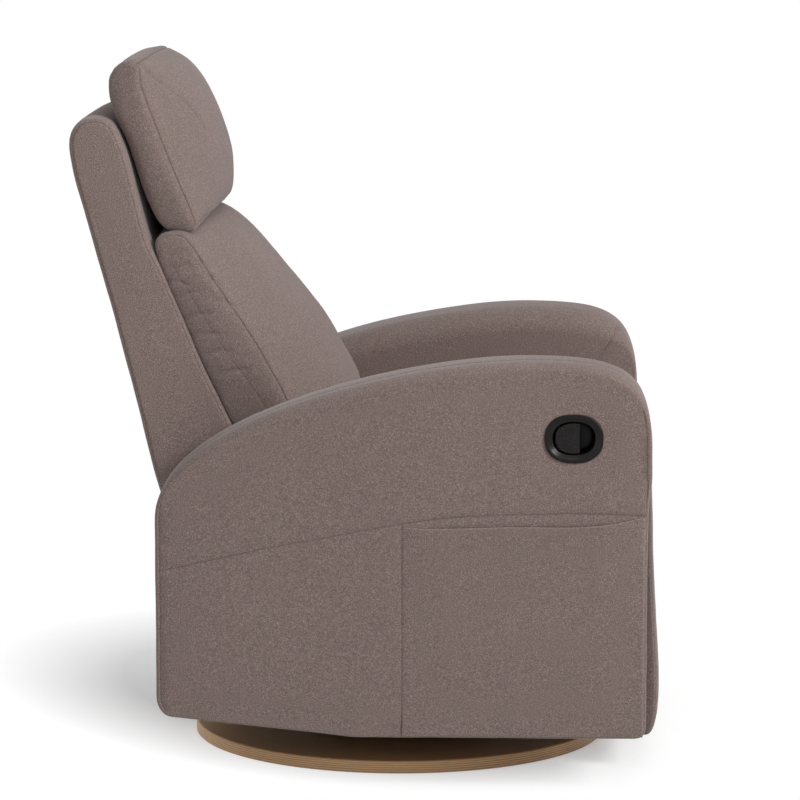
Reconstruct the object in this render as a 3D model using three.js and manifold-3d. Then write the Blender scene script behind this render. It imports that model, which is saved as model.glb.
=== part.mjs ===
// Swivel glider recliner, millimetres, Z up.
// The sitter faces -Y, the sitter's right hand is at -X, and the origin is on the floor
// under the swivel axis. Side outlines are drawn as (forward, up), where forward is -Y.

import * as THREE from 'three';
import { mergeVertices } from 'three/addons/utils/BufferGeometryUtils.js';
import Module from 'manifold-3d';

const wasm = await Module();
wasm.setup();

// Clearances and cutting
const seatGap = 0.3;
const pinPlay = 0.4;
const sidePlay = 1;
const overrun = 30;

// Floor disc
const discRadius = 300;
const discThickness = 18;
const discArris = 1.5;
const feltRadius = 286;
const feltThickness = 3;

// Swivel
const basePlateHalf = 95;
const basePlateThickness = 3;
const bearingOuter = 62;
const bearingInner = 44;
const bearingHeight = 8;
const bearingGroove = 2;
const spindleRadius = 10;
const spindleHeadRadius = 17;
const spindleHeadHeight = 9;
const topPlateHalf = 90;
const plateCorner = 15;
const swivelPlateThickness = 4;

// Glider stand on the swivel
const standInner = 150;
const standWidth = 10;
const standRailHeight = 20;
const standRailHalf = 132;
const uprightWidth = 40;
const uprightTopWidth = 26;
const crossmemberForward = 58;
const crossmemberWidth = 24;

// Glide links and their bars
const linkPivotForward = 110;
const linkTopHeight = 198;
const linkLength = 130;
const linkThickness = 4;
const linkWidth = 24;
const linkPinRadius = 5;
const barThickness = 12;
const barHeight = 25;
const barCorner = 5;
const barHalfLength = 300;

// Arms and side panels
const armInner = 261;
const armWidth = 131;
const armFront = 354;
const armRear = -325;
const armTop = 599;
const armBottom = 77;
const armCorner = 12;
const heelForward = -50;
const heelRise = 26;
const shoulderHeight = 382;
const shoulderHandle = 124;
const crestForward = 190;
const crestRearHandle = 179;
const crestFrontHandle = 113;
const browHeight = 470;
const browHandle = 112;
const armEdgeRadius = 8;
const armFoam = 22;
const armSideFoam = 16;
const armBoard = 14;
const armBottomRecess = 4;
const boardHoleRadius = 44;
const boardHoleCount = 4;

// Side pocket on the right arm
const pocketRear = 14.5;
const pocketFront = 347;
const pocketTop = 371;
const pocketSag = 5;
const pocketBottom = 86;
const pocketMouth = 14;
const pocketDepth = 8;
const pocketCloth = 2.3;

// Release handle in the right arm
const bezelForward = 248;
const bezelHeight = 492;
const bezelLength = 80;
const bezelTall = 67;
const bezelLip = 3.2;
const cupLength = 64;
const cupTall = 52;
const cupWall = 3;
const cupDepth = 29;
const cupFloor = 3;
const paddleFront = 257;
const paddleThickness = 6;
const paddleSink = 1.5;
const paddlePlay = 1;
const paddlePinRadius = 1.6;
const paddlePinBack = 21;
const paddleKnuckle = 4.5;
const knuckleShare = 0.45;

// Rails and rear panel between the arms
const railThickness = 20;
const frontRailForward = 290;
const frontRailTop = 150;
const rearRailForward = -288;
const rearRailTop = 325;
const panelThickness = 14;
const panelTop = 345;
const panelBottom = 98;
const panelEdgeRadius = 5;
const panelEndRadius = 2.5;

// Seat tracks, rollers and side plates
const trackRise = 6;
const trackHeight = 215;
const trackHalfLength = 185;
const trackWall = 3;
const trackDepth = 25;
const rollerRadius = 13;
const rollerWidth = 12;
const rollerPlay = 0.5;
const rollerInset = 8.3;
const rollerPinRadius = 5;
const rollerRearForward = -140;
const rollerFrontForward = 40;
const plateInner = 225;
const plateThickness = 4;
const plateFlange = 24;
const plateNose = 32;
const plateSlotWidth = 16;
const plateSlotCorner = 7.6;
const driveEarRadius = 24;
const driveEarStart = -0.3 * Math.PI;
const driveEarEnd = 0.1 * Math.PI;
const reclineEarStart = 0.3 * Math.PI;
const reclineEarEnd = 1.4 * Math.PI;

// Back hinge and footrest linkage, at rest
const reclinePivot = [-250, 330];
const reclinePinRadius = 7.5;
const reclineEyeRadius = 16;
const drivePivot = [150, 300];
const kneeSetback = 57;
const kneeHeight = 175;
const padPivotSetback = 17;
const padPivotHeight = 320;
const torqueTubeRadius = 12;
const driveLinkInner = 208;
const legLinkThickness = 5;
const legLinkWidth = 26;
const driveEyeWall = 8.7;
const legPinRadius = 5.5;
const legPinReach = 1.5;

// Seat
const seatFrameBottom = 344;
const seatFrameThickness = 23;
const seatFrameHalf = 250;
const seatFrameRear = -195;
const seatFrameFront = 300;
const seatRailWidth = 32;
const springWire = 1.8;
const springCount = 4;
const springBends = 9;
const springSwing = 24;
const springHeight = 13.8;
const seatCushionRear = -188;
const seatCushionDepth = 505;
const seatCushionHeight = 112;
const seatCushionSeam = 240;
const seatCushionPuff = 13;

// Footrest
const boardGap = 5;
const boardThickness = 12;
const boardBottom = 72;
const boardTop = 420;
const boardHalf = 238;
const padBottom = 64;
const padHeight = 364;
const padDepth = 38;
const padSeam = 244;
const padPuff = 10;
const bracketReachUp = 62;
const bracketReachDown = 120;
const bracketEarStart = 0.6 * Math.PI;
const bracketEarEnd = 1.3 * Math.PI;

// Back
const backHalf = 256;
const backRear = -448;
const backDepth = 252;
const backBottom = 372;
const backHeight = 542;
const backEdgeRadius = 13;
const backLean = 14.17;
const backFoam = 14;
const backFrameDepth = 28;
const backFrameHeight = 500;
const backFrameHalf = 229.6;
const backPostWidth = 26;
const backRailHeight = 36;
const backRailCount = 5;
const bracketDrop = 16;
const bracketElbowRadius = 12;
const bracketStrapHeight = 150;
const backBracketThickness = 4;

// Back cushion and headrest
const lumbarRear = -346;
const lumbarDepth = 296;
const lumbarBottom = 480;
const lumbarHeight = 298;
const lumbarSeam = 238;
const lumbarPuff = 13;
const headrestRear = -400;
const headrestDepth = 160;
const headrestBottom = 757;
const headrestHeight = 246;
const headrestSeam = 226;
const headrestPuff = 11;
const stayWidth = 50;
const stayAcross = 95;
const stayBottom = 815;
const stayTop = 882;

// Each row is one point of a side outline: depth and height at the side seam, then at the
// middle of the width, all as shares of the cushion's own depth and height.
const seatShares = [
  [0.00, 0.12, 0.00, 0.12], [0.00, 0.50, 0.00, 0.52], [0.01, 0.78, 0.01, 0.84],
  [0.05, 0.86, 0.05, 0.92], [0.30, 0.84, 0.30, 0.91], [0.60, 0.86, 0.60, 0.96],
  [0.87, 0.88, 0.87, 1.00], [0.97, 0.80, 0.97, 0.91], [1.00, 0.58, 1.00, 0.64],
  [0.995, 0.30, 1.00, 0.30], [0.97, 0.06, 0.98, 0.06], [0.90, -0.04, 0.90, -0.04],
  [0.50, -0.04, 0.50, -0.04], [0.06, -0.04, 0.06, -0.04],
];
const padShares = [
  [-0.20, 0.03, -0.20, 0.02], [-0.20, 0.50, -0.20, 0.50], [-0.20, 0.97, -0.20, 0.98],
  [0.20, 0.99, 0.25, 1.00], [0.52, 0.98, 0.58, 0.985], [0.66, 0.88, 0.72, 0.90],
  [0.76, 0.60, 0.86, 0.60], [0.89, 0.30, 0.97, 0.30], [0.91, 0.13, 1.00, 0.14],
  [0.74, 0.03, 0.84, 0.03], [0.20, 0.01, 0.30, 0.00],
];
const lumbarShares = [
  [0.40, 0.02, 0.40, 0.02], [0.34, 0.14, 0.34, 0.14], [0.21, 0.42, 0.21, 0.42],
  [0.12, 0.63, 0.12, 0.63], [0.04, 0.85, 0.04, 0.85], [0.03, 0.92, 0.03, 0.93],
  [0.09, 0.945, 0.15, 0.985], [0.165, 0.92, 0.28, 0.995], [0.215, 0.865, 0.45, 0.89],
  [0.32, 0.70, 0.59, 0.73], [0.48, 0.47, 0.79, 0.47], [0.58, 0.30, 0.88, 0.30],
  [0.66, 0.15, 0.965, 0.14], [0.69, 0.035, 0.985, 0.04], [0.62, 0.00, 0.86, 0.00],
];
const headrestShares = [
  [0.47, 0.05, 0.49, 0.11], [0.32, 0.21, 0.34, 0.22], [0.18, 0.49, 0.19, 0.49],
  [0.05, 0.68, 0.035, 0.70], [0.01, 0.83, 0.00, 0.86], [0.07, 0.92, 0.08, 0.955],
  [0.26, 0.96, 0.33, 0.99], [0.29, 0.83, 0.57, 0.915], [0.36, 0.70, 0.775, 0.72],
  [0.51, 0.45, 0.94, 0.48], [0.61, 0.29, 0.98, 0.32], [0.74, 0.09, 0.94, 0.16],
  [0.73, 0.04, 0.82, 0.115], [0.59, 0.02, 0.66, 0.105],
];
// The back's side outline, as shares of its depth and height
const backShares = [
  [0.51, 0.00], [0.455, 0.085], [0.37, 0.255], [0.24, 0.495], [0.03, 0.85], [0.00, 0.935],
  [0.02, 0.97], [0.07, 0.993], [0.14, 1.00], [0.20, 0.996], [0.246, 0.98], [0.306, 0.908],
  [0.425, 0.68], [0.488, 0.627], [0.563, 0.544], [0.726, 0.36], [0.873, 0.216],
  [0.964, 0.125], [1.00, 0.055],
];
// How far the crown falls off towards the side seams, and how the side panel closes
const crownPower = 2.6;
const sideRingShares = [[0.55, 0.93], [0.88, 0.72], [1.00, 0.40]];
const acrossSteps = 10;
const outlineSteps = 2;
// One bend of a seat spring: share of the lead along it, and share of the swing out
const springBendShares = [[-0.35, 0.8], [0, 1], [0.35, 0.8]];
// Edge rounding: share of the radius from the face, and share of the radius drawn in
const roundShares = [[0, 1], [0.25, 0.36], [0.6, 0.08], [1, 0]];

const model = new THREE.Group();

// Materials
const cloth = () => new THREE.MeshStandardMaterial({ color: 0x7d6e69, roughness: 0.95, metalness: 0 });
const felt = () => new THREE.MeshStandardMaterial({ color: 0x2b2a29, roughness: 1, metalness: 0 });
const plywood = () => new THREE.MeshStandardMaterial({ color: 0x8a6242, roughness: 0.6, metalness: 0 });
const timber = () => new THREE.MeshStandardMaterial({ color: 0xb89668, roughness: 0.8, metalness: 0 });
const blackSteel = () => new THREE.MeshStandardMaterial({ color: 0x1c1c1d, roughness: 0.5, metalness: 0.6 });
const zincSteel = () => new THREE.MeshStandardMaterial({ color: 0x9a9c9e, roughness: 0.35, metalness: 0.9 });
const blackPlastic = () => new THREE.MeshStandardMaterial({ color: 0x17171a, roughness: 0.55, metalness: 0 });
const nylon = () => new THREE.MeshStandardMaterial({ color: 0xd9d6cc, roughness: 0.5, metalness: 0 });

// Geometry helpers
function facingOut(geometry) {
  const position = geometry.getAttribute('position');
  const index = geometry.getIndex();
  const corner = [new THREE.Vector3(), new THREE.Vector3(), new THREE.Vector3()];
  let volume = 0;
  for (let i = 0; i < index.count; i += 3) {
    corner.forEach((point, k) => point.fromBufferAttribute(position, index.getX(i + k)));
    volume += corner[0].dot(corner[1].clone().cross(corner[2]));
  }
  if (volume < 0) {
    for (let i = 0; i < index.count; i += 3) {
      const first = index.getX(i);
      index.setX(i, index.getX(i + 1));
      index.setX(i + 1, first);
    }
  }
  return geometry;
}

function solid(geometry) {
  const bare = geometry.clone();
  bare.deleteAttribute('normal');
  bare.deleteAttribute('uv');
  const merged = facingOut(mergeVertices(bare, 1e-4));
  return new wasm.Manifold(new wasm.Mesh({
    numProp: 3,
    vertProperties: new Float32Array(merged.getAttribute('position').array),
    triVerts: new Uint32Array(merged.getIndex().array),
  }));
}

function geometryOf(manifold) {
  const mesh = manifold.getMesh();
  const geometry = new THREE.BufferGeometry();
  geometry.setAttribute('position', new THREE.BufferAttribute(mesh.vertProperties, 3));
  geometry.setIndex(new THREE.BufferAttribute(mesh.triVerts, 1));
  geometry.computeVertexNormals();
  return geometry;
}

const join = (first, ...rest) => rest.reduce((sum, piece) => sum.add(piece), first);
const cut = (first, ...rest) => rest.reduce((left, piece) => left.subtract(piece), first);

function block([x0, x1], [forward0, forward1], [z0, z1]) {
  const geometry = new THREE.BoxGeometry(
    Math.abs(x1 - x0), Math.abs(forward1 - forward0), Math.abs(z1 - z0));
  geometry.translate((x0 + x1) / 2, -(forward0 + forward1) / 2, (z0 + z1) / 2);
  return solid(geometry);
}

// The span between two distances from the middle, on the side where sign is 1 or -1
const span = (side, inner, outer) => (side > 0 ? [inner, outer] : [-outer, -inner]);

function sidePlate(outline, [x0, x1], curveSegments = 8) {
  const geometry = new THREE.ExtrudeGeometry(
    outline, { depth: x1 - x0, bevelEnabled: false, curveSegments });
  geometry.applyMatrix4(new THREE.Matrix4().makeBasis(
    new THREE.Vector3(0, -1, 0), new THREE.Vector3(0, 0, 1), new THREE.Vector3(-1, 0, 0)));
  geometry.translate(x1, 0, 0);
  return solid(geometry);
}

function flatPlate(outline, bottom, thickness) {
  const geometry = new THREE.ExtrudeGeometry(outline, {
    depth: thickness, bevelEnabled: false, curveSegments: 6,
  });
  geometry.translate(0, 0, bottom);
  return solid(geometry);
}

function rodAcross(radius, [x0, x1], [forward, up], sides = 12) {
  const geometry = new THREE.CylinderGeometry(radius, radius, x1 - x0, sides);
  geometry.rotateZ(Math.PI / 2);
  geometry.translate((x0 + x1) / 2, -forward, up);
  return solid(geometry);
}

function turned(profile, segments = 36) {
  const points = profile.map(([radius, height]) => new THREE.Vector2(radius, height));
  const geometry = new THREE.LatheGeometry(points, segments);
  geometry.rotateX(Math.PI / 2);
  return solid(geometry);
}

function rectangle([forward0, forward1], [z0, z1], radius = 0) {
  const shape = new THREE.Shape();
  if (radius === 0) {
    shape.moveTo(forward0, z0);
    shape.lineTo(forward1, z0);
    shape.lineTo(forward1, z1);
    shape.lineTo(forward0, z1);
    return shape;
  }
  shape.absarc(forward1 - radius, z0 + radius, radius, -Math.PI / 2, 0);
  shape.absarc(forward1 - radius, z1 - radius, radius, 0, Math.PI / 2);
  shape.absarc(forward0 + radius, z1 - radius, radius, Math.PI / 2, Math.PI);
  shape.absarc(forward0 + radius, z0 + radius, radius, Math.PI, 1.5 * Math.PI);
  return shape;
}

// A flat link: two round ends joined by its straight edges
function linkShape([forward0, z0], [forward1, z1], radius0, radius1 = radius0) {
  const angle = Math.atan2(z1 - z0, forward1 - forward0);
  const length = Math.hypot(z1 - z0, forward1 - forward0);
  const tilt = Math.acos((radius0 - radius1) / length);
  const shape = new THREE.Shape();
  shape.absarc(forward0, z0, radius0, angle + tilt, angle - tilt + 2 * Math.PI);
  shape.absarc(forward1, z1, radius1, angle - tilt, angle + tilt);
  return shape;
}

function insetOutline(points, distance) {
  const area = THREE.ShapeUtils.area(points);
  const turn = area > 0 ? 1 : -1;
  return points.map((point, i) => {
    const before = points[(i + points.length - 1) % points.length];
    const after = points[(i + 1) % points.length];
    const inward = (a, b) => new THREE.Vector2(-(b.y - a.y), b.x - a.x).normalize().multiplyScalar(turn);
    const first = inward(before, point);
    const second = inward(point, after);
    const middle = first.clone().add(second).normalize();
    return point.clone().addScaledVector(middle, distance / Math.max(middle.dot(first), 0.5));
  });
}

// A closed skin over rings of equal count that lie one after another along X
function ringForm(rings) {
  const count = rings[0].points.length;
  const position = [];
  const index = [];
  rings.forEach(({ x, points }) => points.forEach((point) => position.push(x, -point.x, point.y)));
  for (let i = 0; i + 1 < rings.length; i += 1) {
    for (let j = 0; j < count; j += 1) {
      const a = i * count + j;
      const b = i * count + ((j + 1) % count);
      index.push(a, b, b + count, a, b + count, a + count);
    }
  }
  [rings[0], rings[rings.length - 1]].forEach(({ x, points }, end) => {
    const start = end === 0 ? 0 : (rings.length - 1) * count;
    THREE.ShapeUtils.triangulateShape(points, []).forEach(([a, b, c]) => {
      const facing = THREE.ShapeUtils.area(points) > 0;
      const flip = (end === 0) === facing;
      index.push(start + a, start + (flip ? c : b), start + (flip ? b : c));
    });
  });
  const geometry = new THREE.BufferGeometry();
  geometry.setAttribute('position', new THREE.BufferAttribute(new Float32Array(position), 3));
  geometry.setIndex(index);
  return geometry;
}

// An outline carried straight across, with both edges rounded
function roundedAcross(points, [x0, x1], radius) {
  const start = roundShares.map(([along, drawn]) => (
    { x: x0 + along * radius, points: insetOutline(points, drawn * radius) }));
  const end = [...roundShares].reverse().map(([along, drawn]) => (
    { x: x1 - along * radius, points: insetOutline(points, drawn * radius) }));
  return solid(ringForm([...start, ...end]));
}

// A stuffed cushion: its outline swells from the seams to the middle of its width, and its
// side panels draw in past the seams
function cushion(rows, { rear, bottom, depth, height, seam, puff }) {
  const spline = (column) => new THREE.CatmullRomCurve3(rows.map((row) => new THREE.Vector3(
    rear + row[column] * depth, bottom + row[column + 1] * height, 0)), true, 'centripetal');
  const edge = spline(0);
  const crown = spline(2);
  const count = rows.length * outlineSteps;
  const ring = (blend) => Array.from({ length: count }, (_, i) => {
    const point = edge.getPoint(i / count).lerp(crown.getPoint(i / count), blend);
    return new THREE.Vector2(point.x, point.y);
  });
  const shrink = (points, share) => {
    const centre = points.reduce((sum, p) => sum.add(p), new THREE.Vector2()).divideScalar(count);
    return points.map((p) => p.clone().sub(centre).multiplyScalar(share).add(centre));
  };
  const rings = [];
  for (let i = 0; i <= acrossSteps; i += 1) {
    const across = Math.sin((i / acrossSteps - 0.5) * Math.PI);
    rings.push({ x: across * seam, points: ring(1 - Math.abs(across) ** crownPower) });
  }
  const sides = sideRingShares.map(([out, share]) => (
    { x: seam + out * puff, points: shrink(ring(0), share) }));
  const mirrored = [...sides].reverse().map(({ x, points }) => ({ x: -x, points }));
  return solid(ringForm([...mirrored, ...rings, ...sides]));
}

function add(name, manifold, material) {
  const mesh = new THREE.Mesh(geometryOf(manifold), material);
  mesh.name = name;
  model.add(mesh);
}

const both = [['right', -1], ['left', 1]];

// Floor disc and swivel
const feltTop = feltThickness;
const discBottom = feltTop;
const discTop = discBottom + discThickness;
const basePlateBottom = discTop;
const basePlateTop = basePlateBottom + basePlateThickness;
const bearingBottom = basePlateTop;
const bearingTop = bearingBottom + bearingHeight;
const swivelPlateBottom = bearingTop + seatGap;
const swivelPlateTop = swivelPlateBottom + swivelPlateThickness;
const spindleTop = swivelPlateTop + seatGap + spindleHeadHeight;

function floorDisc() {
  add('floor_pad', turned([[0, 0], [feltRadius, 0], [feltRadius, feltTop], [0, feltTop]], 64), felt());
  add('base_disc', turned([
    [0, discBottom], [discRadius - discArris, discBottom], [discRadius, discBottom + discArris],
    [discRadius, discTop - discArris], [discRadius - discArris, discTop], [0, discTop],
  ], 96), plywood());
}

function swivel() {
  const reach = [-basePlateHalf, basePlateHalf];
  add('base_plate', flatPlate(rectangle(reach, reach, plateCorner), basePlateBottom, basePlateThickness),
    zincSteel());

  const grooveLow = bearingBottom + bearingHeight / 2 - bearingGroove;
  const grooveHigh = bearingBottom + bearingHeight / 2 + bearingGroove;
  add('swivel_bearing', turned([
    [bearingInner, bearingBottom], [bearingOuter, bearingBottom], [bearingOuter, grooveLow],
    [bearingOuter - bearingGroove, grooveLow], [bearingOuter - bearingGroove, grooveHigh],
    [bearingOuter, grooveHigh], [bearingOuter, bearingTop], [bearingInner, bearingTop],
    [bearingInner, bearingBottom],
  ]), zincSteel());

  add('swivel_spindle', turned([
    [0, bearingBottom], [spindleHeadRadius, bearingBottom], [spindleHeadRadius, bearingTop],
    [spindleRadius, bearingTop], [spindleRadius, swivelPlateTop + seatGap],
    [spindleHeadRadius, swivelPlateTop + seatGap], [spindleHeadRadius, spindleTop], [0, spindleTop],
  ], 24), zincSteel());
}

function swivelPlate() {
  const reach = [-topPlateHalf, topPlateHalf];
  const outer = rectangle(reach, reach, plateCorner);
  const bore = new THREE.Path();
  bore.absarc(0, 0, spindleRadius + pinPlay, 0, 2 * Math.PI);
  outer.holes.push(bore);
  const flat = flatPlate(outer, swivelPlateBottom, swivelPlateThickness);
  const beams = [-1, 1].map((end) => {
    const low = end * crossmemberForward - crossmemberWidth / 2;
    return block([-standInner + seatGap, standInner - seatGap], [low, low + crossmemberWidth],
      [swivelPlateTop, swivelPlateTop + standRailHeight]);
  });
  add('swivel_plate', join(flat, ...beams), blackSteel());
}

// Glider stands, links and bars
const linkBottomHeight = linkTopHeight - linkLength;
const linkInner = standInner + standWidth + sidePlay;
const barInner = linkInner + linkThickness + sidePlay;
const barLow = linkBottomHeight - barHeight / 2;
const barHigh = barLow + barHeight;

function gliderStand(name, side) {
  const railLow = swivelPlateTop;
  const across = span(side, standInner, standInner + standWidth);
  const railUp = [railLow, railLow + standRailHeight];
  const rail = sidePlate(rectangle([-standRailHalf, standRailHalf], railUp), across);
  const uprights = [-1, 1].map((end) => {
    const middle = end * linkPivotForward;
    const shape = new THREE.Shape();
    shape.moveTo(middle - uprightWidth / 2, railLow);
    shape.lineTo(middle + uprightWidth / 2, railLow);
    shape.lineTo(middle + uprightTopWidth / 2, linkTopHeight);
    shape.absarc(middle, linkTopHeight, uprightTopWidth / 2, 0, Math.PI);
    return cut(sidePlate(shape, across),
      rodAcross(linkPinRadius + pinPlay, span(side, standInner - overrun, standInner + overrun),
        [middle, linkTopHeight]));
  });
  add(name, join(rail, ...uprights), blackSteel());
}

function glideLink(name, side, end) {
  const top = [end * linkPivotForward, linkTopHeight];
  const foot = [end * linkPivotForward, linkBottomHeight];
  const linkOuter = linkInner + linkThickness;
  const plate = sidePlate(linkShape(top, foot, linkWidth / 2), span(side, linkInner, linkOuter));
  const upperPin = rodAcross(linkPinRadius, span(side, standInner - sidePlay, linkOuter), top);
  const lowerReach = span(side, linkInner, barInner + barThickness + sidePlay);
  add(name, join(plate, upperPin, rodAcross(linkPinRadius, lowerReach, foot)), zincSteel());
}

function glideBar(name, side) {
  const across = span(side, barInner, barInner + barThickness);
  const outline = rectangle([-barHalfLength, barHalfLength], [barLow, barHigh], barCorner);
  const bar = sidePlate(outline, across, 3);
  const holes = [-1, 1].map((end) => rodAcross(linkPinRadius + pinPlay,
    span(side, barInner - overrun, barInner + overrun), [end * linkPivotForward, linkBottomHeight]));
  add(name, cut(bar, ...holes), blackSteel());
}

// Arms
const armOuter = armInner + armWidth;

function armOutline(corner) {
  const shape = new THREE.Shape();
  const heelHeight = armBottom + heelRise;
  shape.moveTo(armFront - corner, armBottom);
  shape.lineTo(heelForward, armBottom);
  shape.lineTo(armRear + corner, heelHeight);
  if (corner > 0) shape.quadraticCurveTo(armRear, heelHeight, armRear, heelHeight + corner);
  shape.lineTo(armRear, shoulderHeight);
  shape.bezierCurveTo(armRear, shoulderHeight + shoulderHandle,
    crestForward - crestRearHandle, armTop, crestForward, armTop);
  shape.bezierCurveTo(crestForward + crestFrontHandle, armTop,
    armFront, browHeight + browHandle, armFront, browHeight);
  if (corner > 0) {
    shape.lineTo(armFront, armBottom + corner);
    shape.quadraticCurveTo(armFront, armBottom, armFront - corner, armBottom);
  }
  const points = shape.getPoints(7);
  return points.filter((point, i) => point.distanceTo(points[(i + 1) % points.length]) > seatGap);
}

function armCore(side, clearance) {
  const across = span(side, armInner + armSideFoam + clearance, armOuter - armSideFoam - clearance);
  const core = sidePlate(new THREE.Shape(insetOutline(armOutline(0), armFoam + clearance)), across);
  const foot = sidePlate(rectangle(
    [armRear + armFoam + clearance, armFront - armFoam - clearance],
    [armBottom - overrun, armBottom + heelRise + armFoam + armCorner]), across);
  return join(core, foot);
}

function ellipse(length, tall, grow = 0) {
  const shape = new THREE.Shape();
  shape.absellipse(bezelForward, bezelHeight, length / 2 + grow, tall / 2 + grow, 0, 2 * Math.PI);
  return shape;
}

function armUpholstery(name, side) {
  const body = roundedAcross(armOutline(armCorner), span(side, armInner, armOuter), armEdgeRadius);
  let piece = cut(body, armCore(side, 0));
  if (side < 0) {
    const recess = sidePlate(rectangle([pocketRear - seatGap, pocketFront + seatGap],
      [pocketBottom - seatGap, pocketTop + pocketMouth]), [-armOuter - overrun, -armOuter + pocketDepth]);
    const hole = sidePlate(ellipse(cupLength, cupTall, seatGap),
      [-armOuter - overrun, -armOuter + cupDepth + seatGap], 24);
    piece = cut(piece, recess, hole);
  }
  add(name, piece, cloth());
}

function armFrame(name, side) {
  const limits = span(side, armInner, armOuter);
  const footprint = sidePlate(new THREE.Shape(insetOutline(armOutline(0), armBottomRecess)), limits);
  const outer = armCore(side, seatGap).intersect(footprint);
  const hollow = sidePlate(new THREE.Shape(insetOutline(armOutline(0), armFoam + armBoard)),
    span(side, armInner + armSideFoam + armBoard, armOuter - armSideFoam - armBoard));
  const holesRear = armRear + armFoam + armBoard + 2 * boardHoleRadius;
  const holesFront = armFront - armFoam - armBoard - 2 * boardHoleRadius;
  const holesHeight = (armBottom + heelRise + shoulderHeight) / 2;
  const holes = Array.from({ length: boardHoleCount }, (_, i) => rodAcross(boardHoleRadius,
    span(side, armInner - overrun, armOuter + overrun),
    [holesRear + (holesFront - holesRear) * (i / (boardHoleCount - 1)), holesHeight], 16));
  let piece = cut(outer, hollow, ...holes);
  if (side < 0) {
    piece = cut(piece, sidePlate(ellipse(cupLength, cupTall, seatGap),
      [-armOuter - overrun, -armOuter + armSideFoam + armBoard + cupDepth], 24));
  }
  add(name, piece, timber());
}

function sidePocket() {
  const shape = new THREE.Shape();
  shape.moveTo(pocketRear, pocketBottom);
  shape.lineTo(pocketFront, pocketBottom);
  shape.lineTo(pocketFront, pocketTop + pocketSag);
  shape.quadraticCurveTo((pocketRear + pocketFront) / 2, pocketTop - pocketSag, pocketRear, pocketTop);
  add('side_pocket', sidePlate(shape, [-armOuter, -armOuter + pocketCloth], 10), cloth());
}

function releaseHandle() {
  const face = -armOuter;
  const cupBack = face + cupDepth;
  const lip = sidePlate(ellipse(bezelLength, bezelTall), [face - seatGap - bezelLip, face - seatGap], 24);
  const wall = sidePlate(ellipse(cupLength, cupTall), [face - seatGap - bezelLip, cupBack], 24);
  const hollow = sidePlate(ellipse(cupLength, cupTall, -cupWall), [face - overrun, cupBack - cupFloor], 24);
  const pinForward = bezelForward - paddlePinBack;
  const pinInward = face + paddleSink + paddleThickness;
  const cupHalfAtPin = (cupTall / 2) * Math.sqrt(1 - (paddlePinBack / (cupLength / 2)) ** 2);
  const pinHalf = cupHalfAtPin - cupWall / 2;
  const upright = (radius, half, sides) => {
    const geometry = new THREE.CylinderGeometry(radius, radius, 2 * half, sides);
    geometry.rotateX(Math.PI / 2);
    geometry.translate(pinInward, -pinForward, bezelHeight);
    return solid(geometry);
  };
  const pinSocket = upright(paddlePinRadius + seatGap, pinHalf + seatGap, 12);
  add('release_bezel', cut(join(lip, wall), hollow, pinSocket), blackPlastic());
  add('paddle_pin', upright(paddlePinRadius, pinHalf, 12), zincSteel());

  const disc = sidePlate(ellipse(cupLength, cupTall, -cupWall - paddlePlay),
    [face + paddleSink, face + paddleSink + paddleThickness], 24);
  const finger = block([face - overrun, face + overrun], [paddleFront, paddleFront + cupLength],
    [bezelHeight - cupTall, bezelHeight + cupTall]);
  const knuckleHalf = pinHalf * knuckleShare;
  const plate = join(cut(disc, finger), upright(paddleKnuckle, knuckleHalf, 16));
  const pinBore = upright(paddlePinRadius + pinPlay, pinHalf + seatGap, 12);
  add('release_paddle', cut(plate, pinBore), blackPlastic());
}

// Rails and panel that tie the arms together
function ties() {
  const across = [-armInner + seatGap, armInner - seatGap];
  add('front_rail', block(across, [frontRailForward - railThickness, frontRailForward],
    [barHigh + seatGap, frontRailTop]), timber());
  add('rear_rail', block(across, [rearRailForward - railThickness, rearRailForward],
    [barHigh + seatGap, rearRailTop]), timber());
  const panelFront = rearRailForward - railThickness - seatGap;
  const forward = [panelFront - panelThickness, panelFront];
  const outline = rectangle(forward, [panelBottom, panelTop], panelEdgeRadius).getPoints(2);
  const following = (i) => outline[(i + 1) % outline.length];
  const points = outline.filter((point, i) => point.distanceTo(following(i)) > seatGap);
  add('rear_panel', roundedAcross(points, across, panelEndRadius), cloth());
}

// Seat tracks and rollers
const trackAngle = THREE.MathUtils.degToRad(trackRise);
const trackPoint = (forward) => [forward, trackHeight + forward * Math.tan(trackAngle)];
const flangeHalf = rollerRadius + rollerPlay;

function seatTrack(name, side) {
  const tall = flangeHalf + trackWall;
  const across = span(side, armInner - seatGap - trackDepth, armInner - seatGap);
  const mouth = span(side, armInner - seatGap - trackDepth - overrun, armInner - seatGap - trackWall);
  const bar = cut(
    sidePlate(rectangle([-trackHalfLength, trackHalfLength], [-tall, tall]), across),
    sidePlate(rectangle([-trackHalfLength - overrun, trackHalfLength + overrun],
      [-flangeHalf, flangeHalf]), mouth));
  const geometry = geometryOf(bar);
  geometry.rotateX(-trackAngle);
  geometry.translate(0, 0, trackHeight);
  add(name, solid(geometry), blackSteel());
}

function trackRoller(name, side, forward) {
  const inner = plateInner + plateThickness + sidePlay + rollerInset;
  const outer = rodAcross(rollerRadius, span(side, inner, inner + rollerWidth), trackPoint(forward), 24);
  const bore = rodAcross(rollerPinRadius + seatGap, span(side, inner - overrun, inner + overrun),
    trackPoint(forward), 16);
  add(name, cut(outer, bore), nylon());
}

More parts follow.
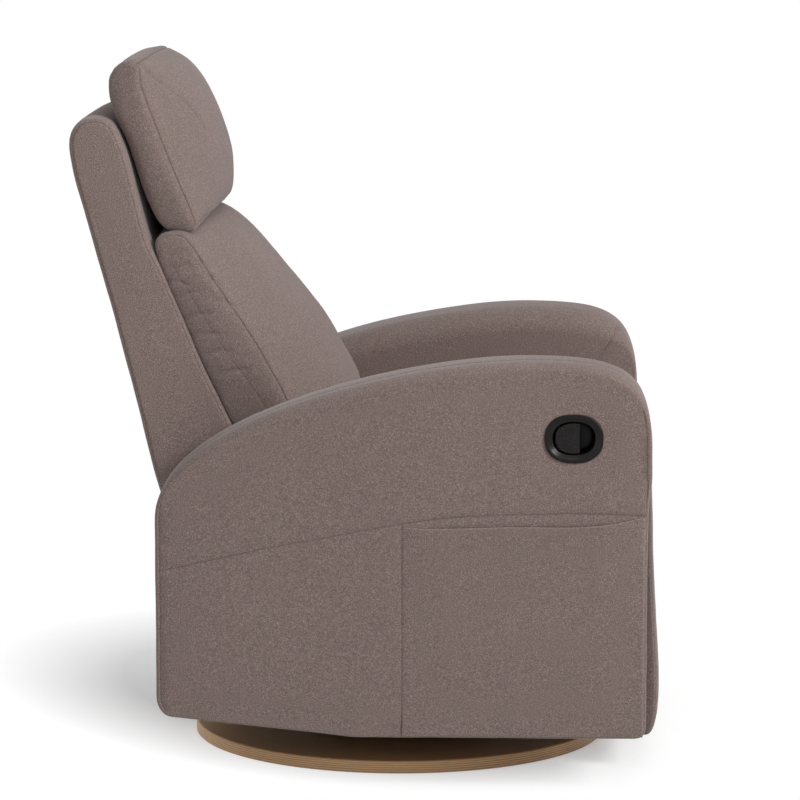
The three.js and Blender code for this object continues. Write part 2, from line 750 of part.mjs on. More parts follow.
function mechanismPlate(name, side) {
  const across = span(side, plateInner, plateInner + plateThickness);
  const rear = trackPoint(rollerRearForward);
  const front = trackPoint(rollerFrontForward);
  const flangeTop = seatFrameBottom - seatGap;
  const ear = reclineEyeRadius;
  const shape = new THREE.Shape();
  shape.moveTo(rear[0] - ear, rear[1]);
  shape.absarc(rear[0], rear[1], ear, Math.PI, 1.5 * Math.PI);
  shape.lineTo(front[0], front[1] - ear);
  shape.quadraticCurveTo(drivePivot[0] - ear, front[1],
    drivePivot[0] + driveEarRadius / 2, drivePivot[1] - driveEarRadius);
  shape.absarc(drivePivot[0], drivePivot[1], driveEarRadius, driveEarStart, driveEarEnd);
  shape.lineTo(drivePivot[0] + plateNose, flangeTop);
  shape.lineTo(reclinePivot[0] + ear, flangeTop);
  shape.absarc(reclinePivot[0], reclinePivot[1], ear, reclineEarStart, reclineEarEnd);
  shape.quadraticCurveTo(rear[0] - 2 * ear, reclinePivot[1] - ear, rear[0] - ear, rear[1]);
  const slotMiddle = (front[1] + drivePivot[1]) / 2;
  const slot = rectangle([rear[0] + ear, front[0] - ear],
    [slotMiddle - plateSlotWidth / 2, slotMiddle + plateSlotWidth / 2], plateSlotCorner);
  const flange = block(span(side, plateInner - plateFlange, plateInner + plateThickness),
    [reclinePivot[0] + 2 * ear, drivePivot[0] + plateNose - sidePlay],
    [flangeTop - plateThickness, flangeTop]);
  const through = span(side, plateInner - overrun, plateInner + overrun);
  const drilled = cut(sidePlate(shape, across, 8), sidePlate(slot, through, 6),
    rodAcross(torqueTubeRadius + pinPlay, through, drivePivot, 24));
  const rollerPins = [rear, front].map((place) => rodAcross(rollerPinRadius,
    span(side, plateInner, armInner - seatGap - trackWall - sidePlay), place, 16));
  const backPinOuter = plateInner + plateThickness + backBracketThickness + 3 * sidePlay;
  const backPin = rodAcross(reclinePinRadius, span(side, plateInner, backPinOuter), reclinePivot);
  add(name, join(drilled, flange, ...rollerPins, backPin), blackSteel());
}

// Seat frame, its sinuous springs and the seat cushion
function seatFrame() {
  const up = [seatFrameBottom, seatFrameBottom + seatFrameThickness];
  const rearInner = seatFrameRear + seatRailWidth;
  const frontInner = seatFrameFront - seatRailWidth;
  add('seat_rail_rear', block([-seatFrameHalf, seatFrameHalf], [seatFrameRear, rearInner], up), timber());
  add('seat_rail_front', block([-seatFrameHalf, seatFrameHalf], [frontInner, seatFrameFront], up), timber());
  both.forEach(([hand, side]) => {
    add(`seat_rail_${hand}`, block(span(side, seatFrameHalf - seatRailWidth, seatFrameHalf),
      [rearInner + seatGap, frontInner - seatGap], up), timber());
  });
}

function seatSpring(name, across) {
  const rear = seatFrameRear + seatRailWidth + seatGap;
  const front = seatFrameFront - seatRailWidth - seatGap;
  const up = seatFrameBottom + springHeight;
  const lead = (front - rear) / (springBends + 1);
  const straight = [0, 2 * springWire, 4 * springWire];
  const points = straight.map((reach) => new THREE.Vector3(across, -rear - reach, up));
  for (let i = 0; i < springBends; i += 1) {
    const side = i % 2 === 0 ? 1 : -1;
    springBendShares.forEach(([along, out]) => {
      const forward = rear + lead * (i + 1 + along);
      points.push(new THREE.Vector3(across + side * springSwing * out, -forward, up));
    });
  }
  [...straight].reverse().forEach((reach) => points.push(new THREE.Vector3(across, -front + reach, up)));
  const section = new THREE.Shape();
  section.absarc(0, 0, springWire, 0, 2 * Math.PI);
  const path = new THREE.CatmullRomCurve3(points, false, 'centripetal');
  const geometry = new THREE.ExtrudeGeometry(section, {
    steps: springBends * 4, curveSegments: 3, extrudePath: path,
  });
  add(name, solid(geometry), zincSteel());
}

function seatCushion() {
  const bottom = seatFrameBottom + seatFrameThickness + seatGap;
  const form = cushion(seatShares, {
    rear: seatCushionRear, bottom, depth: seatCushionDepth, height: seatCushionHeight,
    seam: seatCushionSeam, puff: seatCushionPuff,
  });
  const along = [seatCushionRear - overrun, seatCushionRear + seatCushionDepth + overrun];
  const below = block([-armInner, armInner], along, [bottom - overrun, bottom]);
  add('seat_cushion', cut(form, below), cloth());
}

// Footrest
const legLinkOuter = driveLinkInner + legLinkThickness;
const kneeInner = legLinkOuter + sidePlay;
const boardBack = seatCushionRear + seatCushionDepth + boardGap;
const kneePivot = [boardBack - kneeSetback, kneeHeight];
const padPivot = [boardBack - padPivotSetback, padPivotHeight];
const legReach = [driveLinkInner - legPinReach, kneeInner + legLinkThickness];

function footrestLinks() {
  const tubeHalf = plateInner + plateThickness + 2 * sidePlay;
  add('torque_tube', rodAcross(torqueTubeRadius, [-tubeHalf, tubeHalf], drivePivot, 24), zincSteel());
  both.forEach(([hand, side]) => {
    const through = span(side, driveLinkInner - overrun, kneeInner + overrun);
    const eye = torqueTubeRadius + driveEyeWall;
    const drive = sidePlate(linkShape(drivePivot, kneePivot, eye, legLinkWidth / 2),
      span(side, driveLinkInner, legLinkOuter));
    add(`drive_link_${hand}`, cut(drive, rodAcross(torqueTubeRadius + seatGap, through, drivePivot, 24),
      rodAcross(legPinRadius + pinPlay, through, kneePivot)), blackSteel());

    const knee = sidePlate(linkShape(kneePivot, padPivot, legLinkWidth / 2),
      span(side, kneeInner, kneeInner + legLinkThickness));
    const pinReach = span(side, ...legReach);
    const pins = [kneePivot, padPivot].map((place) => rodAcross(legPinRadius, pinReach, place));
    add(`knee_link_${hand}`, join(knee, ...pins), blackSteel());
  });
}

function footrest() {
  both.forEach(([hand, side]) => {
    const back = boardBack - seatGap;
    const shape = new THREE.Shape();
    const low = padPivotHeight - bracketReachDown;
    const high = padPivotHeight + bracketReachUp;
    shape.moveTo(back, low);
    shape.lineTo(back, high);
    shape.lineTo(back - legLinkThickness, high);
    shape.absarc(padPivot[0], padPivotHeight, legLinkWidth / 2, bracketEarStart, bracketEarEnd);
    shape.lineTo(back - legLinkThickness, low);
    const plate = sidePlate(shape, span(side, driveLinkInner, legLinkOuter));
    const foot = block(span(side, driveLinkInner - legLinkWidth, legLinkOuter),
      [back - legLinkThickness, back], [low, high]);
    const hole = rodAcross(legPinRadius + pinPlay,
      span(side, driveLinkInner - overrun, driveLinkInner + overrun), padPivot);
    add(`footrest_bracket_${hand}`, cut(join(plate, foot), hole), blackSteel());
  });
  add('footrest_board', block([-boardHalf, boardHalf], [boardBack, boardBack + boardThickness],
    [boardBottom, boardTop]), plywood());
  const rear = boardBack + boardThickness + seatGap;
  const form = cushion(padShares, {
    rear, bottom: padBottom, depth: padDepth, height: padHeight, seam: padSeam, puff: padPuff,
  });
  const behind = block([-armInner, armInner], [rear - overrun, rear], [0, armTop]);
  add('footrest_pad', cut(form, behind), cloth());
}

// Back
const lean = THREE.MathUtils.degToRad(backLean);
const backFoot = [backRear + backShares[0][0] * backDepth, backBottom];

function backOutline() {
  return backShares.map(([depth, height]) => (
    new THREE.Vector2(backRear + depth * backDepth, backBottom + height * backHeight)));
}

// A block placed from the back's rear foot: forward of its rear face, and up along its lean
function leaningBlock(across, [forward0, forward1], [up0, up1]) {
  const geometry = geometryOf(block(across, [forward0, forward1], [up0, up1]));
  geometry.rotateX(-lean);
  geometry.translate(0, -backFoot[0], backFoot[1]);
  return solid(geometry);
}

function backBody() {
  return roundedAcross(backOutline(), [-backHalf, backHalf], backEdgeRadius);
}

const backSlotHalf = backFrameHalf + backBracketThickness + 2 * seatGap;

function back() {
  const body = backBody();
  const slot = leaningBlock([-backSlotHalf, backSlotHalf], [backFoam, backFoam + backFrameDepth],
    [-overrun, backFrameHeight]);
  add('back_shell', cut(body, slot), cloth());

  const rear = backFoam + seatGap;
  const front = backFoam + backFrameDepth - seatGap;
  const top = backFrameHeight - seatGap;
  const posts = [-1, 1].map((side) => leaningBlock(
    span(side, backFrameHalf - backPostWidth, backFrameHalf), [rear, front], [0, top]));
  const rails = Array.from({ length: backRailCount }, (_, i) => {
    const low = (top - backRailHeight) * (i / (backRailCount - 1));
    return leaningBlock([-backFrameHalf, backFrameHalf], [rear, front], [low, low + backRailHeight]);
  });
  add('back_frame', join(posts[0], posts[1], ...rails), timber());
}

function backBrackets() {
  both.forEach(([hand, side]) => {
    const across = span(side, backFrameHalf + seatGap, backFrameHalf + seatGap + backBracketThickness);
    const middle = backFoam + backFrameDepth / 2;
    const strapHalf = backFrameDepth / 2 - 2 * seatGap;
    const strap = leaningBlock(across, [middle - strapHalf, middle + strapHalf],
      [-bracketDrop, bracketStrapHeight]);
    const elbow = [
      backFoot[0] + middle * Math.cos(lean) + bracketDrop * Math.sin(lean),
      backFoot[1] + middle * Math.sin(lean) - bracketDrop * Math.cos(lean),
    ];
    const arm = sidePlate(linkShape(elbow, reclinePivot, bracketElbowRadius, reclineEyeRadius), across);
    const hole = rodAcross(reclinePinRadius + pinPlay,
      span(side, backFrameHalf - overrun, backFrameHalf + overrun), reclinePivot, 24);
    add(`back_bracket_${hand}`, cut(join(strap, arm), hole), blackSteel());
  });
}

function backCushions() {
  const shell = geometryOf(backBody());
  shell.translate(0, -seatGap, 0);
  const lumbar = cushion(lumbarShares, {
    rear: lumbarRear, bottom: lumbarBottom, depth: lumbarDepth, height: lumbarHeight,
    seam: lumbarSeam, puff: lumbarPuff,
  });
  add('lumbar_cushion', cut(lumbar, solid(shell)), cloth());
  const headrest = cushion(headrestShares, {
    rear: headrestRear, bottom: headrestBottom, depth: headrestDepth, height: headrestHeight,
    seam: headrestSeam, puff: headrestPuff,
  });
  add('headrest', headrest, cloth());

  const pillow = geometryOf(headrest);
  pillow.translate(0, seatGap, 0);
  both.forEach(([hand, side]) => {
    const blank = block(span(side, stayAcross, stayAcross + stayWidth),
      [backRear, headrestRear + headrestDepth / 2], [stayBottom, stayTop]);
    const pieces = cut(blank, solid(shell), solid(pillow)).decompose();
    const stay = pieces.reduce((least, piece) => (
      piece.boundingBox().min[1] < least.boundingBox().min[1] ? piece : least));
    add(`headrest_stay_${hand}`, stay, blackPlastic());
  });
}

floorDisc();
swivel();
swivelPlate();
both.forEach(([hand, side]) => {
  gliderStand(`glider_stand_${hand}`, side);
  glideLink(`front_link_${hand}`, side, 1);
  glideLink(`rear_link_${hand}`, side, -1);
  glideBar(`glide_bar_${hand}`, side);
  armUpholstery(`arm_${hand}`, side);
  armFrame(`arm_frame_${hand}`, side);
  seatTrack(`seat_track_${hand}`, side);
  trackRoller(`rear_roller_${hand}`, side, rollerRearForward);
  trackRoller(`front_roller_${hand}`, side, rollerFrontForward);
  mechanismPlate(`mechanism_plate_${hand}`, side);
});
sidePocket();
releaseHandle();
ties();
seatFrame();
for (let i = 0; i < springCount; i += 1) {
  const reach = seatFrameHalf - seatRailWidth;
  seatSpring(`seat_spring_${i + 1}`, reach * ((2 * i + 1) / springCount - 1));
}
seatCushion();
footrestLinks();
footrest();
back();
backBrackets();
backCushions();

export default model;
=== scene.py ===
"""Looks of a swivel glider recliner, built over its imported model.

Drawing sizes are millimetres: across (+ is the sitter's left), forward, and up from the floor.
"""

import math
from contextlib import contextmanager

import bmesh
import bpy
import numpy as np
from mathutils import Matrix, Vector, bvhtree, geometry, kdtree, noise


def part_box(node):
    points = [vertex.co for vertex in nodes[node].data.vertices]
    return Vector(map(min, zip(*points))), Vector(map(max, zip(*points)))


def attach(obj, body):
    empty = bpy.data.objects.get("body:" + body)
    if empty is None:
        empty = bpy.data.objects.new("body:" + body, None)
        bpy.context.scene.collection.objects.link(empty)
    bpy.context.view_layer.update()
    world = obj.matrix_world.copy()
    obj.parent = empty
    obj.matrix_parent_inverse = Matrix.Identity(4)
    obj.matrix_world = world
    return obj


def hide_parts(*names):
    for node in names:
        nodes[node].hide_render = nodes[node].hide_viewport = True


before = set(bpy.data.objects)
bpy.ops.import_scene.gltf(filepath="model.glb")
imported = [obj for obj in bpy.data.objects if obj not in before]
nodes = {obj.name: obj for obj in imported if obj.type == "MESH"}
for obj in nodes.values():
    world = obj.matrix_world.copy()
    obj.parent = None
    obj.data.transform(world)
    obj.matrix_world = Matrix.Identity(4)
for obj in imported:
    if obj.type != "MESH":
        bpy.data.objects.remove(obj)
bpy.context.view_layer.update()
MM = 0.001
WHITE = (1, 1, 1)

# Camera and picture
CAMERA = (-5428.75, 166.5, 1246.56)
TARGET = (0.0, 0.0, 462.35)
LENS, SENSOR, SHIFT_UP = 168.95, 36.0, 0.0230

# Light, in metres and watts; each lamp has its place, aim, width and power
SKY_LIGHT = 0.44
LAMPS = {
    "key": ((-2.35, -3.5, 2.9), (0, 0, 0.45), 1.6, 150.0),
    "top": ((-0.9, -0.9, 4.2), (0, 0, 0.3), 2.4, 26.0),
    "fill": ((-1.8, 1.5, 0.75), (-0.3, 0.15, 0.5), 1.1, 3.6),
}

# Floor, in metres: its own light, and the oval round the chair that keeps the shadow
FLOOR_RADIUS, FLOOR_GLOW = 14.0, 0.24
FLOOR_PLAIN, FLOOR_LIT = (0.82, 0.82, 0.82), (0.92, 0.92, 0.925)
SHADE_CENTRE, SHADE_TURN, SHADE_HALF = (0.26, 0.08, 0.0), 0.61, (0.76, 0.50, 1.0)
SHADE_FADE = (0.62, 0.98)

# Arms
ARM_INNER, ARM_OUTER = 261.0, 392.0
ARM_REAR, ARM_FRONT, ARM_FRONT_LOW = -323.0, 354.5, 349.0
ARM_BOTTOM, ARM_HEEL, ARM_TOP = 75.5, 103.0, 595.0
HEEL_FORWARD, ARM_CORNER = -50.0, 14.0
FRONT_STEP_TOP, FRONT_STEP_FOOT = 432.0, 392.0
SHOULDER, SHOULDER_HANDLE = 382.0, 124.0
CREST, CREST_REAR_HANDLE, CREST_FRONT_HANDLE = 190.0, 179.0, 119.0
BROW, BROW_HANDLE = 470.0, 112.0
EDGE_RADIUS, TOP_RADIUS, INNER_RADIUS = 3.5, 12.0, 36.0
EDGE_ROLL, TOP_ROLL, INNER_ROLL = 6.0, 27.0, 46.0
OUTER_CROWN, INNER_CROWN = 2.4, 1.4

# Seams of an arm: the one round its edges, the one along its sides, the one down its inside
SEAM_ON_TOP, SEAM_AT_REAR = 34.0, 6.0
SEAM_AT_FRONT_UP, SEAM_AT_FRONT = (380, 440), (1.2, 7.0)
SIDE_SEAM = [(-330, 304), (-320, 306), (-288, 313), (-176, 338), (-92, 354), (-9, 370),
             (63, 381), (115, 385), (193, 388), (271, 389), (362, 386)]
INNER_SEAM = [(34, 344, 566), (14, 338, 580), (2, 330, 577), (0, 315, 551), (0, 303, 531),
              (0, 296, 517), (0, 289, 494), (0, 285, 466), (0, 283, 430), (0, 282, 392)]
SEAM_ROWS = (-2.6, -1.0, 0.0, 1.0, 2.6)

# Side pocket: its cloth, how far it stands off the arm, the seams beside it, and its stitches
POCKET_REAR, POCKET_FRONT, POCKET_BOTTOM = 14.5, 345.0, 78.5
POCKET_FLAT_HEIGHT, POCKET_CLOTH = 295.5, 2.0
POCKET_MOUTH = [(POCKET_REAR, 369), (63, 368), (167, 371), (245, 371), (297, 375),
                (POCKET_FRONT, 385)]
POCKET_HEM = [(POCKET_REAR + 3, 353), (63, 352.5), (167, 355), (245, 356),
              (POCKET_FRONT - 2, 370)]
POCKET_STANDS, POCKET_BELLY, POCKET_GAPE, POCKET_EASE = 1.2, 2.6, 4.6, 60.0
POCKET_UPRIGHT_TOP, POCKET_DOUBLE_SEAM = 370.0, 4.6
STITCH, STITCH_GAP, THREAD_THICK = 3.4, 1.5, 0.35

# Release handle
BEZEL = np.array((248.0, 492.0))
BEZEL_HALF, CUP_HALF, APERTURE_HALF = (40.0, 33.5), (34.2, 28.2), (28.6, 22.6)
CUP_DEPTH, PADDLE_SINK, PADDLE_THICK = 29.0, 1.5, 6.0
PADDLE_HALF, PADDLE_FRONT = (25.4, 20.7), 256.8
PIN_FORWARD, KNUCKLE, KNUCKLE_HALF, KNUCKLE_SIDES = 227.0, 4.5, 9.0, 20

# Rings of the release's surround, one after another: how much longer and taller than the outline
# of the flange or of the opening, and how far out from the arm's face or from the cup's floor
FLANGE_ROWS = [
    (-0.6, -0.6, -0.4), (0, 0, 0.6), (0, 0, 1.6), (-0.4, -0.4, 2.5), (-1.3, -1.3, 3.1),
    (-2.6, -2.6, 3.4), (-3.8, -3.8, 3.3), (-5.0, -5.0, 2.7), (-6.6, -6.4, 1.5), (-8.4, -8.0, 0.2),
]
THROAT_ROWS = [
    (1.2, 1.2, -0.8), (0.3, 0.3, -1.5), (0, 0, -2.4), (0.1, 0.1, -4.0), (0.4, 0.4, -9.0),
]
BOWL_ROWS = [
    (0, 0, 5.0), (-3.0, -3.0, 2.6), (-9.0, -8.0, 1.0), (-18.0, -15.0, 0.4), (-27.8, -22.0, 0.2),
    (-27.8, -22.0, -1.4), (-3.0, -3.0, -1.4), (2.2, 2.2, 3.0), (2.8, 2.8, 27.0),
]

# Boxed back, footrest pad and rear panel
BACK_HALF, BACK_REAR, BACK_DEPTH = 256.0, -451.5, 255.5
BACK_BOTTOM, BACK_HEIGHT, BACK_RADIUS = 372.0, 545.0, 8.0
BACK_SEAM_DRAWN, BACK_FRONT_ROW = 4.0, 11
PAD_HALF, PAD_REAR, PAD_DEPTH, PAD_BOTTOM, PAD_HEIGHT = 252.0, 334.0, 38.0, 46.0, 382.0
PAD_RADIUS, PAD_ROLL, PAD_BULGE = 7.0, 10.0, 5.0
# Where the painted shadow runs down the pad's sides: how far forward of its rear, and how high it
# reaches
PAD_SHADOW_FORWARD, PAD_SHADOW_TOP = 18.0, 420.0
PANEL_HEM, PANEL_CORNER = 16.0, 5.0

# Stuffed cushions, and how far they may reach to each side
SEAT = dict(rear=-188, bottom=367, depth=505, height=112, seam=240, puff=12)
LUMBAR = dict(rear=-346, bottom=480, depth=296, height=298, seam=246, puff=8)
HEADREST = dict(rear=-400, bottom=757, depth=160, height=246, seam=226, puff=10)
CUSHION_REACH, HEADREST_REACH = 257.0, 243.0
SEAT_HELD_BELOW, LUMBAR_HELD = 376.0, 8.0
CROWN_POWER, CUSHION_VOXEL = 2.3, 6.5

# Their cloth: how it is blown up, how far it may swell, and how near a seam it is held
CLOTH_SETTINGS = dict(
    quality=3, mass=0.3, tension_stiffness=18, compression_stiffness=18, shear_stiffness=8,
    bending_stiffness=1.2, use_pressure=True, uniform_pressure_force=4.0, vertex_group_mass="held")
CLOTH_FRAMES, SWELL_LIMIT, SEAM_HOLD = 12, 22.0, 4.5

# Rows of a cushion's side outline, as shares of its depth and height: at the side seam, then at
# the middle of the width
SEAT_SHARES = [
    [0.00, 0.12, 0.00, 0.12], [0.00, 0.50, 0.00, 0.52], [0.01, 0.78, 0.01, 0.84],
    [0.05, 0.86, 0.05, 0.92], [0.30, 0.84, 0.30, 0.91], [0.60, 0.86, 0.60, 0.96],
    [0.87, 0.88, 0.87, 1.00], [0.97, 0.80, 0.97, 0.91], [1.00, 0.58, 1.00, 0.64],
    [0.995, 0.30, 1.00, 0.30], [0.97, 0.06, 0.98, 0.06], [0.90, -0.03, 0.90, -0.03],
    [0.50, -0.03, 0.50, -0.03], [0.06, -0.03, 0.06, -0.03],
]
LUMBAR_SHARES = [
    [0.40, 0.02, 0.40, 0.02], [0.34, 0.14, 0.34, 0.14], [0.21, 0.42, 0.21, 0.42],
    [0.12, 0.63, 0.12, 0.63], [0.05, 0.83, 0.05, 0.84], [0.045, 0.895, 0.04, 0.92],
    [0.10, 0.917, 0.15, 0.975], [0.165, 0.92, 0.28, 0.982], [0.215, 0.865, 0.43, 0.882],
    [0.32, 0.70, 0.575, 0.722], [0.48, 0.47, 0.783, 0.468], [0.58, 0.30, 0.88, 0.30],
    [0.66, 0.15, 0.965, 0.14], [0.69, 0.035, 0.985, 0.04], [0.62, 0.00, 0.86, 0.00],
]
HEADREST_SHARES = [
    [0.455, 0.03, 0.49, 0.10], [0.32, 0.21, 0.34, 0.22], [0.18, 0.49, 0.19, 0.49],
    [0.05, 0.68, 0.035, 0.70], [0.01, 0.83, 0.00, 0.86], [0.07, 0.92, 0.08, 0.955],
    [0.26, 0.96, 0.35, 0.972], [0.29, 0.83, 0.605, 0.905], [0.36, 0.70, 0.80, 0.72],
    [0.51, 0.45, 0.94, 0.48], [0.61, 0.29, 0.98, 0.32], [0.755, 0.06, 0.95, 0.14],
    [0.75, -0.01, 0.83, 0.095], [0.61, -0.015, 0.67, 0.09],
]

# Points of a board's side outline, as shares of its depth and height
PAD_SHARES = [
    [-0.10, 0.06], [-0.10, 0.50], [-0.10, 0.985], [0.12, 1.00], [0.44, 0.99], [0.64, 0.93],
    [0.74, 0.64], [0.90, 0.36], [0.97, 0.21], [0.955, 0.11], [0.87, 0.055], [0.74, 0.018],
    [0.52, 0.004], [0.12, 0.02],
]
BACK_SHARES = [
    [0.51, 0.00], [0.455, 0.085], [0.37, 0.255], [0.24, 0.495], [0.03, 0.85], [0.00, 0.935],
    [0.02, 0.97], [0.07, 0.993], [0.14, 1.00], [0.20, 0.996], [0.246, 0.98], [0.306, 0.908],
    [0.425, 0.68], [0.488, 0.627], [0.563, 0.544], [0.726, 0.36], [0.873, 0.216],
    [0.964, 0.125], [1.00, 0.055],
]

# Lines on the cushions. On the lumbar cushion's sides: forward and up. On the headrest, half of
# the top and foot seams from the middle outwards, and the fold below a top corner
GUSSET_ACROSS, WRINKLE_ACROSS, WRINKLE_SAG = 254, (254, 253, 250), 2
GUSSET_LINE = [(-311, 715), (-301, 700), (-290, 682), (-258, 628), (-227, 581), (-199, 543),
               (-176, 506)]
WRINKLES = [((-316, 722), (-287, 732)), ((-312, 706), (-273, 713)), ((-318, 690), (-290, 686)),
            ((-304, 669), (-262, 677)), ((-293, 638), (-257, 645)), ((-285, 613), (-246, 617)),
            ((-262, 588), (-230, 593)), ((-244, 560), (-207, 567)), ((-274, 720), (-251, 716)),
            ((-262, 698), (-234, 693)), ((-250, 663), (-218, 660))]
TOP_SEAM = [(0, -350, 1001), (110, -350, 999), (190, -352, 995), (226, -358, 990)]
FOOT_SEAM = [(0, -262, 784), (90, -262, 782), (180, -268, 775), (226, -279, 765)]
CORNER_FOLD = [(222, -357, 988), (205, -336, 979), (186, -317, 966), (168, -306, 952),
               (150, -297, 935), (134, -289, 915), (121, -281, 894)]
# The lines' looks: how deep and wide they sink, how they gather and swell, and how much shade is
# painted along them (dark)
CUSHION_SEAM = dict(depth=1.5, width=1.3, pucker=0.5, swell=0.8, dark=0.7)
GUSSET_LOOK = dict(depth=0.5, width=0.9, pucker=0.2, swell=0.15, dark=0.32)
WRINKLE_LOOK = dict(depth=1.1, width=3.4, swell=0.7, dark=0.08)
FOLD_LOOK = dict(depth=1.3, width=2.8, swell=0.5, dark=0.16)

# A line with less painted shade than this is a fold, which the swelling cloth isn't held by; and
# the distance between the points of a line that is laid on a mesh
FOLD_DARK, SEAM_SPACING = 0.3, 1.5


# ---- Camera, light and floor

def place(across, forward, up):
    return Vector((across, -forward, up)) * MM


def add_object(name, data):
    made = bpy.data.objects.new(name, data)
    bpy.context.scene.collection.objects.link(made)
    return made


def aimed(name, data, at, aim):
    made = add_object(name, data)
    made.location = at
    made.rotation_euler = (Vector(aim) - Vector(at)).to_track_quat("-Z", "Y").to_euler()
    return made


def make_camera():
    data = bpy.data.cameras.new("camera")
    data.lens, data.sensor_width, data.shift_y = LENS, SENSOR, SHIFT_UP
    data.clip_end = 100.0
    bpy.context.scene.camera = aimed("camera", data, place(*CAMERA), place(*TARGET))


def make_lamp(name, at, aim, size, watts):
    data = bpy.data.lights.new(name, "AREA")
    data.shape, data.size, data.energy = "DISK", size, watts
    aimed(name, data, at, aim)


def feed(tree, socket, value):
    """Links an output, or a node's first output, to an input; or sets the input's value."""
    if isinstance(value, bpy.types.Node):
        value = value.outputs[0]
    if isinstance(value, bpy.types.NodeSocket):
        tree.links.new(value, socket)
    elif socket.type == "RGBA":
        socket.default_value = (*value, 1)
    else:
        socket.default_value = value


def node(tree, kind, *inputs, **named):
    """A shader node, with its inputs given in their order, and its settings and inputs by name."""
    made = tree.nodes.new(kind)
    for key, value in named.items():
        if key in made.bl_rna.properties.keys():
            setattr(made, key, value)
        else:
            feed(tree, made.inputs[key.replace("_", " ")], value)
    for socket, value in zip(made.inputs, inputs):
        feed(tree, socket, value)
    return made


def math_node(tree, operation, *inputs):
    return node(tree, "ShaderNodeMath", *inputs, operation=operation).outputs[0]


def vector_node(tree, operation, *inputs, **named):
    return node(tree, "ShaderNodeVectorMath", *inputs, operation=operation, **named)


def ramp_share(tree, value, low, high):
    made = node(tree, "ShaderNodeMapRange", From_Min=low, From_Max=high, Value=value)
    return made.outputs["Result"]


def object_coordinates(tree):
    return node(tree, "ShaderNodeTexCoord").outputs["Object"]


def seen_directly(tree):
    """1 for the rays that see the background: camera, mirror and glass rays."""
    path = node(tree, "ShaderNodeLightPath").outputs
    first = math_node(tree, "MAXIMUM", path["Is Camera Ray"], path["Is Glossy Ray"])
    return math_node(tree, "MAXIMUM", first, path["Is Transmission Ray"])


def make_world():
    world = bpy.data.worlds.new("studio")
    bpy.context.scene.world = world
    world.use_nodes = True
    tree = world.node_tree
    tree.nodes.clear()
    sky = node(tree, "ShaderNodeBackground", WHITE, SKY_LIGHT)
    white = node(tree, "ShaderNodeBackground", WHITE, 1.0)
    mix = node(tree, "ShaderNodeMixShader", seen_directly(tree), sky, white)
    node(tree, "ShaderNodeOutputWorld", mix)


def make_floor():
    """A floor that shows the shadow near the chair, and fades into plain white outside an oval."""
    bpy.ops.mesh.primitive_circle_add(vertices=96, radius=FLOOR_RADIUS, fill_type="NGON")
    floor = bpy.context.object
    floor.name = "floor"
    material = bpy.data.materials.new("floor")
    material.use_nodes = True
    tree = material.node_tree
    tree.nodes.clear()
    centred = vector_node(tree, "SUBTRACT", object_coordinates(tree), SHADE_CENTRE)
    turned = node(tree, "ShaderNodeVectorRotate", rotation_type="Z_AXIS", Vector=centred,
                  Angle=-SHADE_TURN)
    radius = vector_node(tree, "LENGTH", vector_node(tree, "DIVIDE", turned, SHADE_HALF))
    away = ramp_share(tree, radius.outputs["Value"], *SHADE_FADE)
    near = node(tree, "ShaderNodeAddShader", node(tree, "ShaderNodeBsdfDiffuse", FLOOR_LIT),
                node(tree, "ShaderNodeEmission", WHITE, FLOOR_GLOW))
    far = node(tree, "ShaderNodeMixShader", away, near,
               node(tree, "ShaderNodeEmission", WHITE, 1.0))
    plain = node(tree, "ShaderNodeBsdfDiffuse", FLOOR_PLAIN)
    mix = node(tree, "ShaderNodeMixShader", seen_directly(tree), plain, far)
    node(tree, "ShaderNodeOutputMaterial", mix)
    floor.data.materials.append(material)


# ---- Materials

def new_material(name):
    material = bpy.data.materials.new(name)
    material.use_nodes = True
    return material, material.node_tree


def paint(tree, **inputs):
    """Sets or links inputs of a material's shader, by their names."""
    shader = tree.nodes["Principled BSDF"]
    for key, value in inputs.items():
        feed(tree, shader.inputs[key.replace("_", " ")], value)


def stretched(tree, scale):
    """Object coordinates, scaled differently along each axis."""
    return node(tree, "ShaderNodeMapping", Vector=object_coordinates(tree), Scale=scale)


def speckle(tree, scale, detail=2.0, roughness=0.5, distortion=0.0, stretch=(1, 1, 1)):
    made = node(tree, "ShaderNodeTexNoise", Scale=scale, Detail=detail, Roughness=roughness,
                Distortion=distortion, Vector=stretched(tree, stretch))
    return made.outputs["Fac"]


def scaled(tree, value, factor, offset):
    return math_node(tree, "MULTIPLY_ADD", value, factor, offset)


def ramp(tree, value, stops):
    made = node(tree, "ShaderNodeValToRGB", value)
    band = made.color_ramp
    while len(band.elements) < len(stops):
        band.elements.new(0.5)
    for element, (at, colour) in zip(band.elements, stops):
        element.position = at
        element.color = (*colour, 1)
    return made.outputs[0]


def mix_colour(tree, share, a, b, most=None):
    """Colour a, with b over it by a share; with most given, by the share times that."""
    if most is not None:
        share = math_node(tree, "MULTIPLY", share, most)
    made = node(tree, "ShaderNodeMix", share, data_type="RGBA")
    feed(tree, made.inputs[6], a)
    feed(tree, made.inputs[7], b)
    return made.outputs[2]


def bump(tree, height, distance, strength, over=None):
    made = node(tree, "ShaderNodeBump", Strength=strength, Distance=distance, Height=height)
    if over is not None:
        feed(tree, made.inputs["Normal"], over)
    return made


def surface(tree, name):
    return node(tree, "ShaderNodeNewGeometry").outputs[name]


def axes(tree, vector):
    return node(tree, "ShaderNodeSeparateXYZ", vector).outputs


def srgb(r, g, b):
    """Linear colour of a colour written as 0 to 255."""
    def one(v):
        v /= 255
        return v / 12.92 if v <= 0.04045 else ((v + 0.055) / 1.055) ** 2.4
    return one(r), one(g), one(b)


